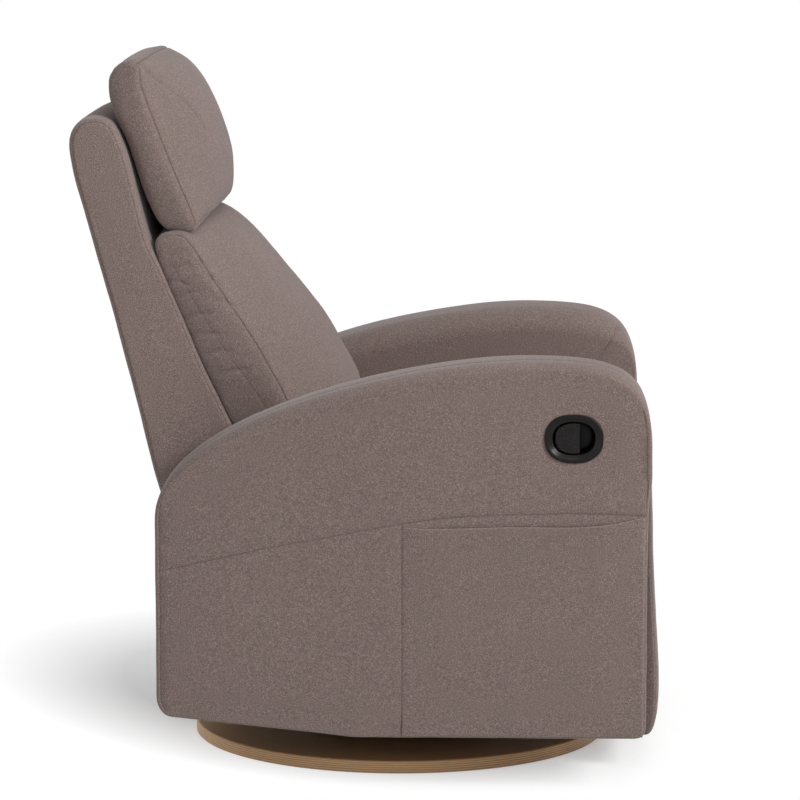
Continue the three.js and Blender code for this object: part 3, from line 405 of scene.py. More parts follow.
def weave_height(tree, pitch):
    """A plain weave of threads one pitch apart, laid on by the side that a point faces."""
    where = object_coordinates(tree)
    jitter = node(tree, "ShaderNodeTexNoise", Scale=90.0, Detail=2.0, Vector=where)
    shaken = vector_node(tree, "MULTIPLY_ADD", jitter.outputs["Color"], (0.0022,) * 3, where)
    along, normal = axes(tree, shaken), axes(tree, surface(tree, "Normal"))
    waves = [math_node(tree, "SINE", math_node(tree, "MULTIPLY", along[i], math.pi / pitch))
             for i in range(3)]
    total = None
    for axis in range(3):
        pattern = math_node(tree, "MULTIPLY", *[waves[i] for i in range(3) if i != axis])
        weight = math_node(tree, "POWER", math_node(tree, "ABSOLUTE", normal[axis]), 4.0)
        part = math_node(tree, "MULTIPLY", pattern, weight)
        total = part if total is None else math_node(tree, "ADD", total, part)
    return total


def fabric(name, tint=1.0):
    """Woven cloth of mixed yarns, with shade painted into its seams and creases and down the strips
    the arms shade; tint scales its colours.
    """
    def shade(r, g, b):
        return tuple(v * tint for v in srgb(r, g, b))

    material, tree = new_material(name)
    yarn = speckle(tree, 720.0, 2.0, 0.6, stretch=(0.85, 0.85, 1.1))
    fleck = speckle(tree, 250.0, 2.0, 0.6)
    cloud = speckle(tree, 24.0, 3.0, 0.6)
    broad = speckle(tree, 5.0, 2.0, 0.5)
    base = ramp(tree, yarn, [
        (0.34, shade(82, 70, 68)), (0.46, shade(108, 94, 90)),
        (0.56, shade(128, 112, 107)), (0.68, shade(164, 147, 140))])
    mottled = mix_colour(tree, fleck, base, shade(140, 122, 116), 0.24)
    rosy = mix_colour(tree, ramp_share(tree, cloud, 0.42, 0.62), shade(126, 108, 105),
                      shade(120, 108, 100))
    toned = mix_colour(tree, 0.25, mottled, rosy)
    lit = vector_node(tree, "SCALE", toned, Scale=scaled(tree, broad, 0.14, 0.93))
    # Painted shade: the "seam" attribute darkens the cloth in its seams and creases and on the
    # strips that the arms shade
    painted_shade = node(tree, "ShaderNodeAttribute", attribute_name="seam").outputs["Fac"]
    with_painted_shade = mix_colour(tree, painted_shade, lit, shade(52, 42, 40), 0.62)
    edge = ramp_share(tree, surface(tree, "Pointiness"), 0.52, 0.60)
    coarse = bump(tree, weave_height(tree, 0.0014), 0.0004, 0.35)
    fuzz = bump(tree, yarn, 0.0007, 0.45, coarse)
    paint(tree, Base_Color=mix_colour(tree, edge, with_painted_shade, shade(176, 160, 149), 0.22),
          Roughness=scaled(tree, fleck, 0.12, 0.86), Specular_IOR_Level=0.18,
          Sheen_Weight=0.22, Sheen_Roughness=0.45, Normal=bump(tree, fleck, 0.0009, 0.30, fuzz))
    return material


def thread_material():
    material, tree = new_material("thread")
    twist = speckle(tree, 1500.0, 1.0)
    paint(tree, Roughness=0.7, Sheen_Weight=0.3, Normal=bump(tree, twist, 0.0002, 0.5),
          Base_Color=ramp(tree, twist, [(0.35, srgb(118, 102, 95)), (0.65, srgb(166, 149, 139))]))
    return material


def plywood():
    """Birch plies that show round the rim, and a brown stained face with light painted on it
    towards its edge.
    """
    material, tree = new_material("plywood")
    where = object_coordinates(tree)
    wander = speckle(tree, 3.0, 3.0, 0.6, stretch=(3, 3, 60))
    height = scaled(tree, wander, 0.0007, axes(tree, where)["Z"])
    plies = math_node(tree, "SINE", math_node(tree, "MULTIPLY", height, 2 * math.pi / 0.0031))
    rim = ramp(tree, scaled(tree, plies, 0.5, 0.5), [
        (0.05, srgb(140, 94, 58)), (0.4, srgb(220, 166, 112)), (0.85, srgb(255, 212, 156))])
    fibre = speckle(tree, 6.0, 4.0, 0.7, stretch=(40, 40, 900))
    rim = mix_colour(tree, fibre, rim, srgb(142, 100, 66), 0.4)
    grain = speckle(tree, 5.0, 6.0, 0.65, 0.4, stretch=(46, 2.2, 46))
    face = ramp(tree, grain, [(0.3, srgb(96, 66, 36)), (0.5, srgb(132, 93, 52)),
                              (0.7, srgb(156, 114, 70))])
    # Painted light: the stained face is painted much lighter towards its outer edge
    level = vector_node(tree, "MULTIPLY", where, (1.0, 1.0, 0.0))
    radius = vector_node(tree, "LENGTH", level).outputs["Value"]
    face = mix_colour(tree, ramp_share(tree, radius, 0.17, 0.30), face, srgb(222, 168, 108), 0.75)
    facing_up = math_node(tree, "ABSOLUTE", axes(tree, surface(tree, "Normal"))["Z"])
    flat = ramp_share(tree, facing_up, 0.45, 0.8)
    arris = ramp_share(tree, surface(tree, "Pointiness"), 0.505, 0.53)
    colour = mix_colour(tree, flat, rim, face)
    paint(tree, Base_Color=mix_colour(tree, arris, colour, srgb(216, 176, 132), 0.5),
          Roughness=scaled(tree, fibre, 0.2, 0.45), Coat_Weight=0.12, Coat_Roughness=0.35,
          Normal=bump(tree, mix_colour(tree, flat, plies, grain), 0.0003, 0.4))
    return material


def timber():
    material, tree = new_material("frame_timber")
    grain = speckle(tree, 5.0, 5.0, 0.6, 0.6, stretch=(60, 7, 7))
    pores = speckle(tree, 2.0, 2.0, stretch=(700, 60, 60))
    colour = ramp(tree, grain, [(0.3, srgb(150, 116, 76)), (0.5, srgb(186, 152, 106)),
                                (0.7, srgb(206, 176, 132))])
    paint(tree, Base_Color=mix_colour(tree, pores, colour, srgb(140, 104, 66), 0.3),
          Roughness=scaled(tree, pores, 0.2, 0.6), Normal=bump(tree, grain, 0.0004, 0.4))
    return material


def black_steel():
    material, tree = new_material("black_steel")
    peel = speckle(tree, 900.0, 2.0)
    dust = speckle(tree, 60.0, 4.0, 0.7)
    edge = ramp_share(tree, surface(tree, "Pointiness"), 0.53, 0.62)
    colour = ramp(tree, dust, [(0.35, srgb(24, 24, 26)), (0.7, srgb(40, 40, 42))])
    paint(tree, Base_Color=mix_colour(tree, edge, colour, srgb(92, 92, 94), 0.4),
          Roughness=scaled(tree, dust, 0.3, 0.34), Normal=bump(tree, peel, 0.0002, 0.35))
    return material


def zinc_steel():
    material, tree = new_material("zinc_steel")
    spangle = node(tree, "ShaderNodeTexVoronoi", Scale=140.0, Vector=stretched(tree, (1, 1, 1)))
    scuff = speckle(tree, 90.0, 3.0, stretch=(8, 1, 8))
    colour = ramp(tree, spangle.outputs["Color"], [(0.1, srgb(150, 152, 154)),
                                                   (0.9, srgb(182, 184, 187))])
    paint(tree, Base_Color=mix_colour(tree, scuff, colour, srgb(128, 130, 133), 0.35),
          Metallic=0.9, Roughness=scaled(tree, scuff, 0.3, 0.28),
          Normal=bump(tree, scuff, 0.0001, 0.3))
    return material


def black_plastic(name, pebble, base, gloss):
    material, tree = new_material(name)
    cells = node(tree, "ShaderNodeTexVoronoi", Scale=520.0, feature="SMOOTH_F1",
                 Vector=stretched(tree, (1, 1, 1)))
    haze = speckle(tree, 70.0, 3.0)
    dark = tuple(v * 0.7 for v in base)
    paint(tree, Base_Color=ramp(tree, haze, [(0.35, dark), (0.7, base)]), Specular_IOR_Level=0.17,
          Roughness=scaled(tree, haze, 0.16, gloss - 0.08),
          Normal=bump(tree, cells.outputs["Distance"], 0.0012, pebble))
    return material


def nylon():
    material, tree = new_material("nylon")
    grey = speckle(tree, 80.0, 3.0)
    paint(tree, Subsurface_Weight=0.15, Subsurface_Scale=0.004,
          Base_Color=ramp(tree, grey, [(0.3, srgb(196, 192, 180)), (0.7, srgb(222, 219, 208))]),
          Roughness=scaled(tree, grey, 0.2, 0.35), Normal=bump(tree, grey, 0.0002, 0.2))
    return material


def felt():
    material, tree = new_material("felt")
    fibre = speckle(tree, 700.0, 3.0, 0.7, 1.5, stretch=(1, 1, 3))
    paint(tree, Roughness=1.0, Sheen_Weight=0.4, Normal=bump(tree, fibre, 0.0008, 0.6),
          Base_Color=ramp(tree, fibre, [(0.3, srgb(30, 29, 28)), (0.7, srgb(62, 60, 57))]))
    return material


# ---- Outlines and meshes

@contextmanager
def editing(mesh):
    work = bmesh.new()
    work.from_mesh(mesh)
    yield work
    work.to_mesh(mesh)
    work.free()


def object_from(name, vertices, faces, material):
    mesh = bpy.data.meshes.new(name)
    mesh.from_pydata([tuple(v) for v in vertices], [], faces)
    mesh.update()
    made = add_object(name, mesh)
    mesh.materials.append(material)
    with editing(mesh) as work:
        bmesh.ops.remove_doubles(work, verts=work.verts, dist=0.02 * MM)
        bmesh.ops.recalc_face_normals(work, faces=work.faces)
    mesh.shade_smooth()
    return made


def read(collection, field):
    flat = np.empty(len(collection) * 3)
    collection.foreach_get(field, flat)
    return flat.reshape(-1, 3)


def coordinates(mesh):
    return read(mesh.vertices, "co")


def set_coordinates(mesh, points):
    mesh.vertices.foreach_set("co", points.astype(np.float32).ravel())
    mesh.update()


def tree_of(points):
    tree = kdtree.KDTree(len(points))
    for i, p in enumerate(points):
        tree.insert(p, i)
    tree.balance()
    return tree


def flat_tree(points):
    return tree_of([(p[0], p[1], 0) for p in points])


def lengths_along(points):
    steps = np.linalg.norm(np.diff(points, axis=0), axis=1)
    return np.concatenate([[0], np.cumsum(steps)])


def read_at(at, along, points):
    return np.column_stack([np.interp(at, along, column) for column in points.T])


def looped(points):
    return np.vstack([points, points[:1]])


def resampled(points, spacing, closed=True):
    """Points spread evenly along a line."""
    points = np.asarray(points, float)
    if closed:
        points = looped(points)
    along = lengths_along(points)
    count = max(2, int(round(along[-1] / spacing)))
    at = np.linspace(0, along[-1], count + 1)
    return read_at(at[:-1] if closed else at, along, points)


def smoothed(points, rounds):
    for _ in range(rounds):
        points = (np.roll(points, 1, 0) + 2 * points + np.roll(points, -1, 0)) / 4
    return points


def across_line(ahead):
    """Unit directions square to the given ones."""
    normal = np.column_stack([-ahead[:, 1], ahead[:, 0]])
    return normal / np.linalg.norm(normal, axis=1)[:, None]


def inset(points, distance):
    """A closed outline drawn in by a distance, with its corners eased."""
    following = np.roll(points, -1, 0)
    normal = smoothed(across_line(following - np.roll(points, 1, 0)), 6)
    normal /= np.linalg.norm(normal, axis=1)[:, None]
    area = np.sum(points[:, 0] * following[:, 1] - points[:, 1] * following[:, 0])
    return points + normal * distance * (1 if area > 0 else -1)


def parallel(points, distance):
    return points + across_line(np.gradient(points, axis=0)) * distance


def spline(rows, closed=True, steps=12):
    """A smooth line through the given points."""
    rows = np.asarray(rows, float)
    if closed:
        padded = np.vstack([rows[-1:], rows, rows[:2]])
    else:
        padded = np.vstack([2 * rows[0] - rows[1], rows, 2 * rows[-1] - rows[-2]])
    out = []
    for i in range(1, len(padded) - 2):
        p0, p1, p2, p3 = padded[i - 1:i + 3]
        for t in np.arange(steps) / steps:
            out.append(0.5 * (2 * p1 + (p2 - p0) * t + (2 * p0 - 5 * p1 + 4 * p2 - p3) * t * t
                              + (3 * p1 - p0 - 3 * p2 + p3) * t ** 3))
    if not closed:
        out.append(rows[-1])
    return np.array(out)


def bezier(p0, p1, p2, p3, count=40):
    t = np.linspace(0, 1, count)[:, None]
    p0, p1, p2, p3 = (np.array(p, float) for p in (p0, p1, p2, p3))
    return (1 - t) ** 3 * p0 + 3 * (1 - t) ** 2 * t * p1 + 3 * (1 - t) * t * t * p2 + t ** 3 * p3


def round_turn(count):
    return np.linspace(0, 2 * math.pi, count, endpoint=False)


def at_side(x, points):
    return [(x, f, z) for f, z in points]


def joined(start, rings, count, flip=False, closed=False):
    """Faces between rings of points that follow one another, from a first point's number on."""
    faces = []
    for i in range(rings if closed else rings - 1):
        first, second = start + i * count, start + (i + 1) % rings * count
        for j in range(count):
            k = (j + 1) % count
            quad = (first + j, first + k, second + k, second + j)
            faces.append(quad[::-1] if flip else quad)
    return faces


def inside_outline(outline, points):
    inside = np.zeros(len(points), bool)
    x, y = points[:, 0], points[:, 1]
    for (x0, y0), (x1, y1) in zip(outline, np.roll(outline, -1, 0)):
        crosses = (y0 > y) != (y1 > y)
        with np.errstate(divide="ignore", invalid="ignore"):
            at = (x1 - x0) * (y - y0) / (y1 - y0 + 1e-12) + x0
        inside ^= crosses & (x < at)
    return inside


def panel(outline, spacing, rows, hole):
    """Triangles over a closed outline: even inside, and along the given lines."""
    low, high = outline.min(0), outline.max(0)
    xs = np.arange(low[0] + spacing / 2, high[0], spacing)
    ys = np.arange(low[1] + spacing / 2, high[1], spacing * 0.87)
    grid = np.array([(x + (spacing / 2 if j % 2 else 0), y) for j, y in enumerate(ys) for x in xs])
    grid = grid.reshape(-1, 2)
    lines = [np.asarray(r, float) for r in rows]
    rims = [outline] + ([hole] if hole is not None else [])
    keep_off = flat_tree(np.vstack(rims + lines))
    inner = [p for p, ok in zip(grid, inside_outline(outline, grid))
             if ok and keep_off.find((p[0], p[1], 0))[2] > spacing * 0.55]
    if lines:
        extra = np.vstack(lines)
        inner += list(extra[inside_outline(outline, extra)])
    if hole is not None:
        inner = list(np.array(inner)[~inside_outline(hole, np.array(inner))])
    points = [Vector(p) for rim in rims for p in rim] + [Vector(p) for p in inner]
    edges, start = [], 0
    for rim in rims:
        edges += [(start + i, start + (i + 1) % len(rim)) for i in range(len(rim))]
        start += len(rim)
    verts, _, faces, *_ = geometry.delaunay_2d_cdt(points, edges, [], 1, 1e-4)
    verts = np.array([tuple(v) for v in verts])
    faces = [tuple(f) for f in faces]
    if hole is not None:
        middles = np.array([verts[list(f)].mean(0) for f in faces])
        faces = [f for f, gone in zip(faces, inside_outline(hole, middles)) if not gone]
    return verts, faces


def pair(value, count):
    """A radius for each of two sides, as one number for every point of an outline."""
    both = value if isinstance(value, tuple) else (value, value)
    return [np.broadcast_to(np.asarray(v, float), (count,)) for v in both]


# A board's face: how far from its edge and from a hole its padding rises, and the rings inside
# its rounded edge; a hole's wall, as distances drawn in and depths
EDGE_FALL, HOLE_FALL = 28.0, 24.0
PANEL_STEPS = (1.5, 3.5)
HOLE_WALL = ((0.0, 0.0), (0.4, 1.2), (1.4, 2.6), (1.8, 14.0))


def slab(name, outline, low, high, radius, material, spacing=9.0, crown=(2.0, 2.0), rows=((), ()),
         hole=(None, None), roll=None, bulge=1.2, flat=1.0, steps=15):
    """An upholstered board: an outline carried across, its edges rounded and its faces padded."""
    count = len(outline)
    radii, rolls = pair(radius, count), pair(radius if roll is None else roll, count)
    inward = inset(outline, 1.0) - outline
    rim = flat_tree(outline)
    vertices, faces = [], []

    def swell(side, f, z):
        away = max(rim.find((f, z, 0))[2] - radii[side].min(), 0)
        share = 1 - math.exp(-(away / EDGE_FALL) ** 1.7)
        if hole[side] is not None:
            from_hole = np.linalg.norm(hole[side] - (f, z), axis=1).min()
            share *= 1 - math.exp(-(from_hole / HOLE_FALL) ** 2)
        return crown[side] * share

    for side, (edge, sign) in enumerate(((low, -1), (high, 1))):
        start = len(vertices)
        rings = [(radii[side] * (1 - math.cos(a)), rolls[side] * (1 - math.sin(a)))
                 for a in np.linspace(0, math.pi / 2, steps)]
        rings += [(radii[side] + more, np.zeros(count)) for more in PANEL_STEPS]
        for drawn, short in rings:
            ring = outline + inward * drawn[:, None]
            for (f, z), less in zip(ring, short):
                vertices.append(place(edge - sign * less + sign * swell(side, f, z), f, z))
        faces += joined(start, len(rings), count, side == 1)
        flat_points, tris = panel(ring, spacing, rows[side], hole[side])
        base = len(vertices)
        vertices.extend(place(edge + sign * swell(side, *p), *p) for p in flat_points)
        faces.extend(tuple(base + i for i in f) for f in tris)
        if hole[side] is not None:
            start, around = len(vertices), len(hole[side])
            for drawn, deep in HOLE_WALL:
                vertices += [place(edge - sign * deep, f, z) for f, z in inset(hole[side], drawn)]
            faces += joined(start, len(HOLE_WALL), around, side == 0)
    first, last = low + rolls[0], high - rolls[1]
    number = max(3, int((high - low) / 10.0))
    start = len(vertices)
    for t in np.linspace(0, 1, number):
        grown = inset(outline, -bulge * math.sin(math.pi * t) ** flat)
        for x, (f, z) in zip(first + (last - first) * t, grown):
            vertices.append(place(x, f, z))
    faces += joined(start, number, count, True)
    return object_from(name, vertices, faces, material)


# Rings across a cushion's width, and over each bulging end
RINGS, END_RINGS = 61, 11


def stuffed_rings(rows, rear, bottom, depth, height, seam, puff):
    """Closed outlines of a stuffed cushion, one after another across its width."""
    rows = np.asarray(rows, float)
    scale = np.array([depth, height], float)
    foot = np.array([rear, bottom], float)
    count = len(resampled(spline(foot + rows[:, :2] * scale), 5.0))
    whole = looped(spline(foot + rows[:, 2:] * scale, steps=24))
    part = looped(spline(foot + rows[:, :2] * scale, steps=24))
    # both outlines are read at the same shares of the way round
    along, number = lengths_along(part), np.arange(len(part))
    share = np.interp(np.linspace(0, along[-1], count, endpoint=False), along, number)
    crown, edge = read_at(share, number, whole), read_at(share, number, part)
    centre = edge.mean(0)
    rings = []
    for i in range(RINGS):
        across = math.sin((i / (RINGS - 1) - 0.5) * math.pi)
        blend = 1 - abs(across) ** CROWN_POWER
        rings.append((across * seam, edge + (crown - edge) * blend))
    sides = []
    for t in np.linspace(0, 1, END_RINGS)[1:]:
        out = math.sin(t * math.pi / 2) ** 0.8
        sides.append((seam + puff * out, centre + (edge - centre) * (1 - t ** 1.5 * 0.97)))
    return [(-x, ring) for x, ring in reversed(sides)] + rings + sides, edge


def stuffed(name, rows, sizes, material):
    rings, edge = stuffed_rings(rows, **sizes)
    count = len(edge)
    vertices = [place(x, f, z) for x, ring in rings for f, z in ring]
    faces = joined(0, len(rings), count)
    last = (len(rings) - 1) * count
    faces.append(tuple(range(count))[::-1])
    faces.append(tuple(range(last, last + count)))
    return object_from(name, vertices, faces, material), edge


def apply_modifiers(made):
    bpy.context.view_layer.objects.active = made
    graph = bpy.context.evaluated_depsgraph_get()
    mesh = bpy.data.meshes.new_from_object(made.evaluated_get(graph))
    old = made.data
    made.modifiers.clear()
    made.data = mesh
    bpy.data.meshes.remove(old)
    mesh.shade_smooth()


def remesh(made, size, rounds):
    modifier = made.modifiers.new("even", "REMESH")
    modifier.mode, modifier.voxel_size = "VOXEL", size * MM
    soften = made.modifiers.new("soften", "SMOOTH")
    soften.factor, soften.iterations = 0.5, rounds
    apply_modifiers(made)


def subdivide(made):
    modifier = made.modifiers.new("finer", "SUBSURF")
    modifier.levels = modifier.render_levels = 1
    apply_modifiers(made)


def inflate(made, fixed, hold=None):
    """Cloth filled with air: the fixed points stay, and the panels between them swell."""
    before = coordinates(made.data)
    tree = tree_of(fixed)
    group = made.vertex_groups.new(name="held")
    for i, p in enumerate(before):
        held = hold is not None and hold(p[0] / MM, -p[1] / MM, p[2] / MM)
        if held or tree.find(p)[2] / MM < SEAM_HOLD:
            group.add([i], 1.0, "REPLACE")
    modifier = made.modifiers.new("cloth", "CLOTH")
    for key, value in CLOTH_SETTINGS.items():
        setattr(modifier.settings, key, value)
    modifier.settings.effector_weights.gravity = 0
    modifier.collision_settings.use_collision = False
    modifier.point_cache.frame_start, modifier.point_cache.frame_end = 1, CLOTH_FRAMES
    scene = bpy.context.scene
    for moment in range(1, CLOTH_FRAMES + 1):
        scene.frame_set(moment)
    apply_modifiers(made)
    scene.frame_set(1)
    moved = coordinates(made.data) - before
    far = np.linalg.norm(moved, axis=1)
    limit = SWELL_LIMIT * MM
    moved *= (limit * np.tanh(far / limit) / np.maximum(far, 1e-9))[:, None]
    set_coordinates(made.data, before + moved)
    made.vertex_groups.clear()


def kept_within(made, reach):
    """Draws in what lies past a distance to either side, with a soft knee."""
    points = coordinates(made.data)
    knee = 4 * MM
    for sign in (-1, 1):
        limit = sign * reach * MM
        past = sign * (points[:, 0] - limit)
        soft = np.where(past > -knee, -knee + knee * np.tanh((past + knee) / knee), past)
        points[:, 0] = limit + sign * soft
    set_coordinates(made.data, points)


# ---- Seams

def line_at(points, depth, width, pucker=0.0, swell=0.3, dark=0.75):
    """A line in the cloth: how deep and wide it sinks, how its sides gather and rise, and how much
    shade is painted along it.
    """
    return dict(points=[Vector(p) for p in points], depth=depth, width=width, pucker=pucker,
                swell=swell, dark=dark)


def nearest_on(made):
    tree = bvhtree.BVHTree.FromObject(made, bpy.context.evaluated_depsgraph_get())
    return tree.find_nearest


def seam_on(made, points, closed=False, **look):
    """A line through drawing points, laid on a mesh with even steps."""
    nearest = nearest_on(made)
    even = resampled([tuple(place(*p)) for p in points], SEAM_SPACING * MM, closed)
    return line_at([nearest(Vector(p))[0] for p in even], **look)


def refine(made, seams, reach=5.0, rounds=2):
    """Splits the faces along the seams, so that a fine line can be drawn there."""
    tree = tree_of([p for seam in seams for p in seam["points"]])
    with editing(made.data) as work:
        for number in range(rounds):
            near = reach * MM / (1 + number)
            close = {v for v in work.verts if tree.find(v.co)[2] < near}
            edges = [e for e in work.edges if e.verts[0] in close and e.verts[1] in close]
            bmesh.ops.subdivide_edges(work, edges=edges, cuts=1, use_grid_fill=True)
    made.data.shade_smooth()


# Away from a seam: where its effect ends, where the cloth stands highest, and how far the gathers
# run and where they are full; and the gathers' lengths along it
SEAM_REACH, SWELL_SPREAD, GATHER_SPREAD, GATHER_START = 45.0, 9.0, 20.0, 4.0
LONG_GATHER, SHORT_GATHER = 26.0, 11.0


def relief(made, seams, lumps, size=70.0, seed=0.0):
    """Sinks the seams, paints shade along them, and gives the cloth between them its small
    unevenness.
    """
    mesh = made.data
    points, facing = coordinates(mesh), read(mesh.vertex_normals, "vector")
    push = np.zeros(len(points))
    darkness = np.zeros(len(points))
    for number, seam in enumerate(seams):
        tree = tree_of(seam["points"])
        spacing = (seam["points"][1] - seam["points"][0]).length / MM
        along = np.array([tuple(p) for p in seam["points"]])
        reach = SEAM_REACH * MM
        near = np.all((points > along.min(0) - reach) & (points < along.max(0) + reach), axis=1)
        for i in np.nonzero(near)[0]:
            _, index, away = tree.find(points[i])
            away /= MM
            if away > SEAM_REACH:
                continue
            sink = seam["depth"] * math.exp(-(away / seam["width"]) ** 2)
            rise = seam["swell"] * (away / SWELL_SPREAD) * math.exp(1 - away / SWELL_SPREAD)
            gather = 0.0
            if seam["pucker"]:
                at = index * spacing
                wave = noise.noise((at / LONG_GATHER, number * 7.3 + seed, away / 80.0))
                wave += 0.5 * noise.noise((at / SHORT_GATHER, number * 3.1 + seed, away / 50.0))
                gather = (seam["pucker"] * wave * math.exp(-away / GATHER_SPREAD)
                          * min(1.0, away / GATHER_START))
            push[i] += rise + gather - sink
            # Painted shade along the line, strongest at its middle
            shade = seam["dark"] * math.exp(-(away / (seam["width"] * 0.85)) ** 2)
            darkness[i] = max(darkness[i], shade)
    if lumps:
        for i, p in enumerate(points):
            where = Vector(p) / (size * MM)
            push[i] += lumps * (noise.noise(where + Vector((seed, 0, 0)))
                                + 0.45 * noise.noise(where * 2.7 + Vector((0, seed, 0))))
    set_coordinates(mesh, points + facing * (push * MM)[:, None])
    # The painted shade goes to the cloth's material as the "seam" attribute
    layer = mesh.attributes.new("seam", "FLOAT", "POINT")
    layer.data.foreach_set("value", darkness.astype(np.float32))


def stitches(made, points, material):
    """A row of thread stitches along a line, half sunk in the cloth, as part of the piece."""
    nearest = nearest_on(made)
    even = resampled([tuple(p) for p in points], (STITCH + STITCH_GAP) / 2 * MM, False)
    build = bmesh.new()
    build.from_mesh(made.data)
    made.data.materials.append(material)
    slot = len(made.data.materials) - 1
    half, thick, sides = STITCH / 2 * MM, THREAD_THICK * MM, 6
    for a, b in zip(even[:-1:2], even[1::2]):
        start, end = Vector(a), Vector(b)
        at, normal, _, _ = nearest((start + end) / 2)
        along = (end - start).normalized()
        across = along.cross(normal).normalized()
        rings = []
        for t in (-1.0, -0.75, 0.0, 0.75, 1.0):
            grow = thick * (0.35 if abs(t) == 1 else 1.0)
            rise = thick * (0.25 - 0.5 * t * t)
            centre = at + along * (t * half) + normal * rise
            spokes = [across * math.cos(a) + normal * math.sin(a) for a in round_turn(sides)]
            rings.append([build.verts.new(centre + spoke * grow) for spoke in spokes])
        for r0, r1 in zip(rings, rings[1:]):
            for j in range(sides):
                k = (j + 1) % sides
                face = build.faces.new((r0[j], r0[k], r1[k], r1[j]))
                face.material_index, face.smooth = slot, True
        for ring in (rings[0][::-1], rings[-1]):
            face = build.faces.new(ring)
            face.material_index = slot
    build.to_mesh(made.data)
    build.free()


# ---- The pieces

def upholstered(made, cad, body):
    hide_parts(cad)
    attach(made, body)


def arm_outline():
    corner = ARM_CORNER
    parts = [
        [(ARM_FRONT_LOW - corner * 0.6, ARM_BOTTOM), (HEEL_FORWARD, ARM_BOTTOM),
         (ARM_REAR + corner * 0.9, ARM_HEEL), (ARM_REAR + corner * 0.7, ARM_HEEL + corner * 0.1),
         (ARM_REAR, ARM_HEEL + corner * 1.3)],
        bezier((ARM_REAR, SHOULDER), (ARM_REAR, SHOULDER + SHOULDER_HANDLE),
               (CREST - CREST_REAR_HANDLE, ARM_TOP), (CREST, ARM_TOP)),
        bezier((CREST, ARM_TOP), (CREST + CREST_FRONT_HANDLE, ARM_TOP),
               (ARM_FRONT, BROW + BROW_HANDLE), (ARM_FRONT, BROW)),
        [(ARM_FRONT, FRONT_STEP_TOP), (ARM_FRONT_LOW, FRONT_STEP_FOOT),
         (ARM_FRONT_LOW, ARM_BOTTOM + corner * 0.6),
         (ARM_FRONT_LOW - corner * 0.2, ARM_BOTTOM + corner * 0.2)],
    ]
    return smoothed(resampled(np.vstack(parts), 5.0), 3)


def share_on_top(outline):
    """One along the rolled top of an arm, and nothing down its front and rear edges."""
    ahead = np.roll(outline, -2, 0) - np.roll(outline, 2, 0)
    level = np.abs(ahead[:, 0]) / np.linalg.norm(ahead, axis=1)
    on_top = np.clip((level - 0.25) / 0.6, 0, 1) * (outline[:, 1] > SHOULDER)
    return smoothed(on_top[:, None], 20)[:, 0]


def edge_seam(outline):
    """The sewn line round an arm: just inside its front and rear edges, and on its rolled top."""
    on_top = share_on_top(outline)
    at_front = np.interp(outline[:, 1], SEAM_AT_FRONT_UP, SEAM_AT_FRONT)
    away = np.where(outline[:, 0] > 0, at_front, SEAM_AT_REAR) * (1 - on_top)
    drawn = outline + (inset(outline, 1.0) - outline) * away[:, None]
    line = np.column_stack([ARM_OUTER - SEAM_ON_TOP * on_top, drawn])
    first = int(np.argmax(outline[:, 0] + outline[:, 1] < ARM_REAR + ARM_HEEL + 40))
    line = np.roll(line, -first, axis=0)
    return line[line[:, 2] > np.where(line[:, 1] < 0, ARM_HEEL + 8, ARM_BOTTOM + 4)]


def arm(name, side, cad, cloth):
    """An arm; the sitter's right one, with side -1, has a hole for the release and a pocket."""
    outline = arm_outline()
    seam = resampled(spline(SIDE_SEAM, closed=False), 4.0, False)
    inner_rows = outer_rows = [parallel(seam, d) for d in SEAM_ROWS]
    opening = None
    if side < 0:
        upright = np.column_stack([np.full(74, POCKET_REAR),
                                   np.linspace(ARM_BOTTOM, POCKET_UPRIGHT_TOP, 74)])
        outer_rows = inner_rows + [parallel(upright, d) for d in SEAM_ROWS]
        turn = round_turn(72)
        opening = BEZEL + np.column_stack([np.cos(turn), np.sin(turn)]) * CUP_HALF
    top = share_on_top(outline)
    outer = (EDGE_RADIUS + (TOP_RADIUS - EDGE_RADIUS) * top,
             EDGE_ROLL + (TOP_ROLL - EDGE_ROLL) * top, outer_rows, OUTER_CROWN, opening)
    inner = (EDGE_RADIUS + (INNER_RADIUS - EDGE_RADIUS) * top,
             EDGE_ROLL + (INNER_ROLL - EDGE_ROLL) * top, inner_rows, INNER_CROWN, None)
    radius, roll, rows, crown, hole = zip(*((outer, inner) if side < 0 else (inner, outer)))
    low, high = sorted((side * ARM_INNER, side * ARM_OUTER))
    made = slab(name, outline, low, high, radius, cloth, crown=crown, rows=rows, roll=roll,
                hole=hole)
    round_edge = [(side * x, f, z) for x, f, z in edge_seam(outline)]
    inside = [(side * (ARM_INNER + x), f, z) for x, f, z in spline(INNER_SEAM, closed=False)]
    # Each seam also gets painted shade along it
    edges = [seam_on(made, round_edge, depth=0.8, width=1.1, pucker=0.25, dark=0.45),
             seam_on(made, inside, depth=0.7, width=0.9, pucker=0.3, dark=0.4)]
    along = [p for p in seam if ARM_REAR + 7 < p[0] < ARM_FRONT_LOW - 1.5]
    seams = [seam_on(made, at_side(x, along), depth=0.9, width=1.0, pucker=0.2, swell=0.35)
             for x in (side * ARM_OUTER, side * ARM_INNER)]
    if side < 0:
        x = side * ARM_OUTER
        second = [(x, f, z - POCKET_DOUBLE_SEAM) for f, z in seam if POCKET_REAR < f < POCKET_FRONT]
        lower = [(x, POCKET_REAR, z)
                 for z in np.linspace(ARM_BOTTOM + 4, POCKET_UPRIGHT_TOP + 2, 60)]
        seams += [seam_on(made, second, depth=0.5, width=0.9, dark=0.5),
                  seam_on(made, lower, depth=0.9, width=1.0, pucker=0.2)]
    refine(made, edges, reach=6.0, rounds=3)
    relief(made, seams + edges, lumps=0.45, size=95.0, seed=3.0 * side)
    upholstered(made, cad, "chassis")


def superellipse(half_length, half_tall, power=2.35, count=72):
    turn = round_turn(count)
    c, s = np.cos(turn), np.sin(turn)
    return BEZEL + np.column_stack([np.sign(c) * np.abs(c) ** (2 / power) * half_length,
                                    np.sign(s) * np.abs(s) ** (2 / power) * half_tall])


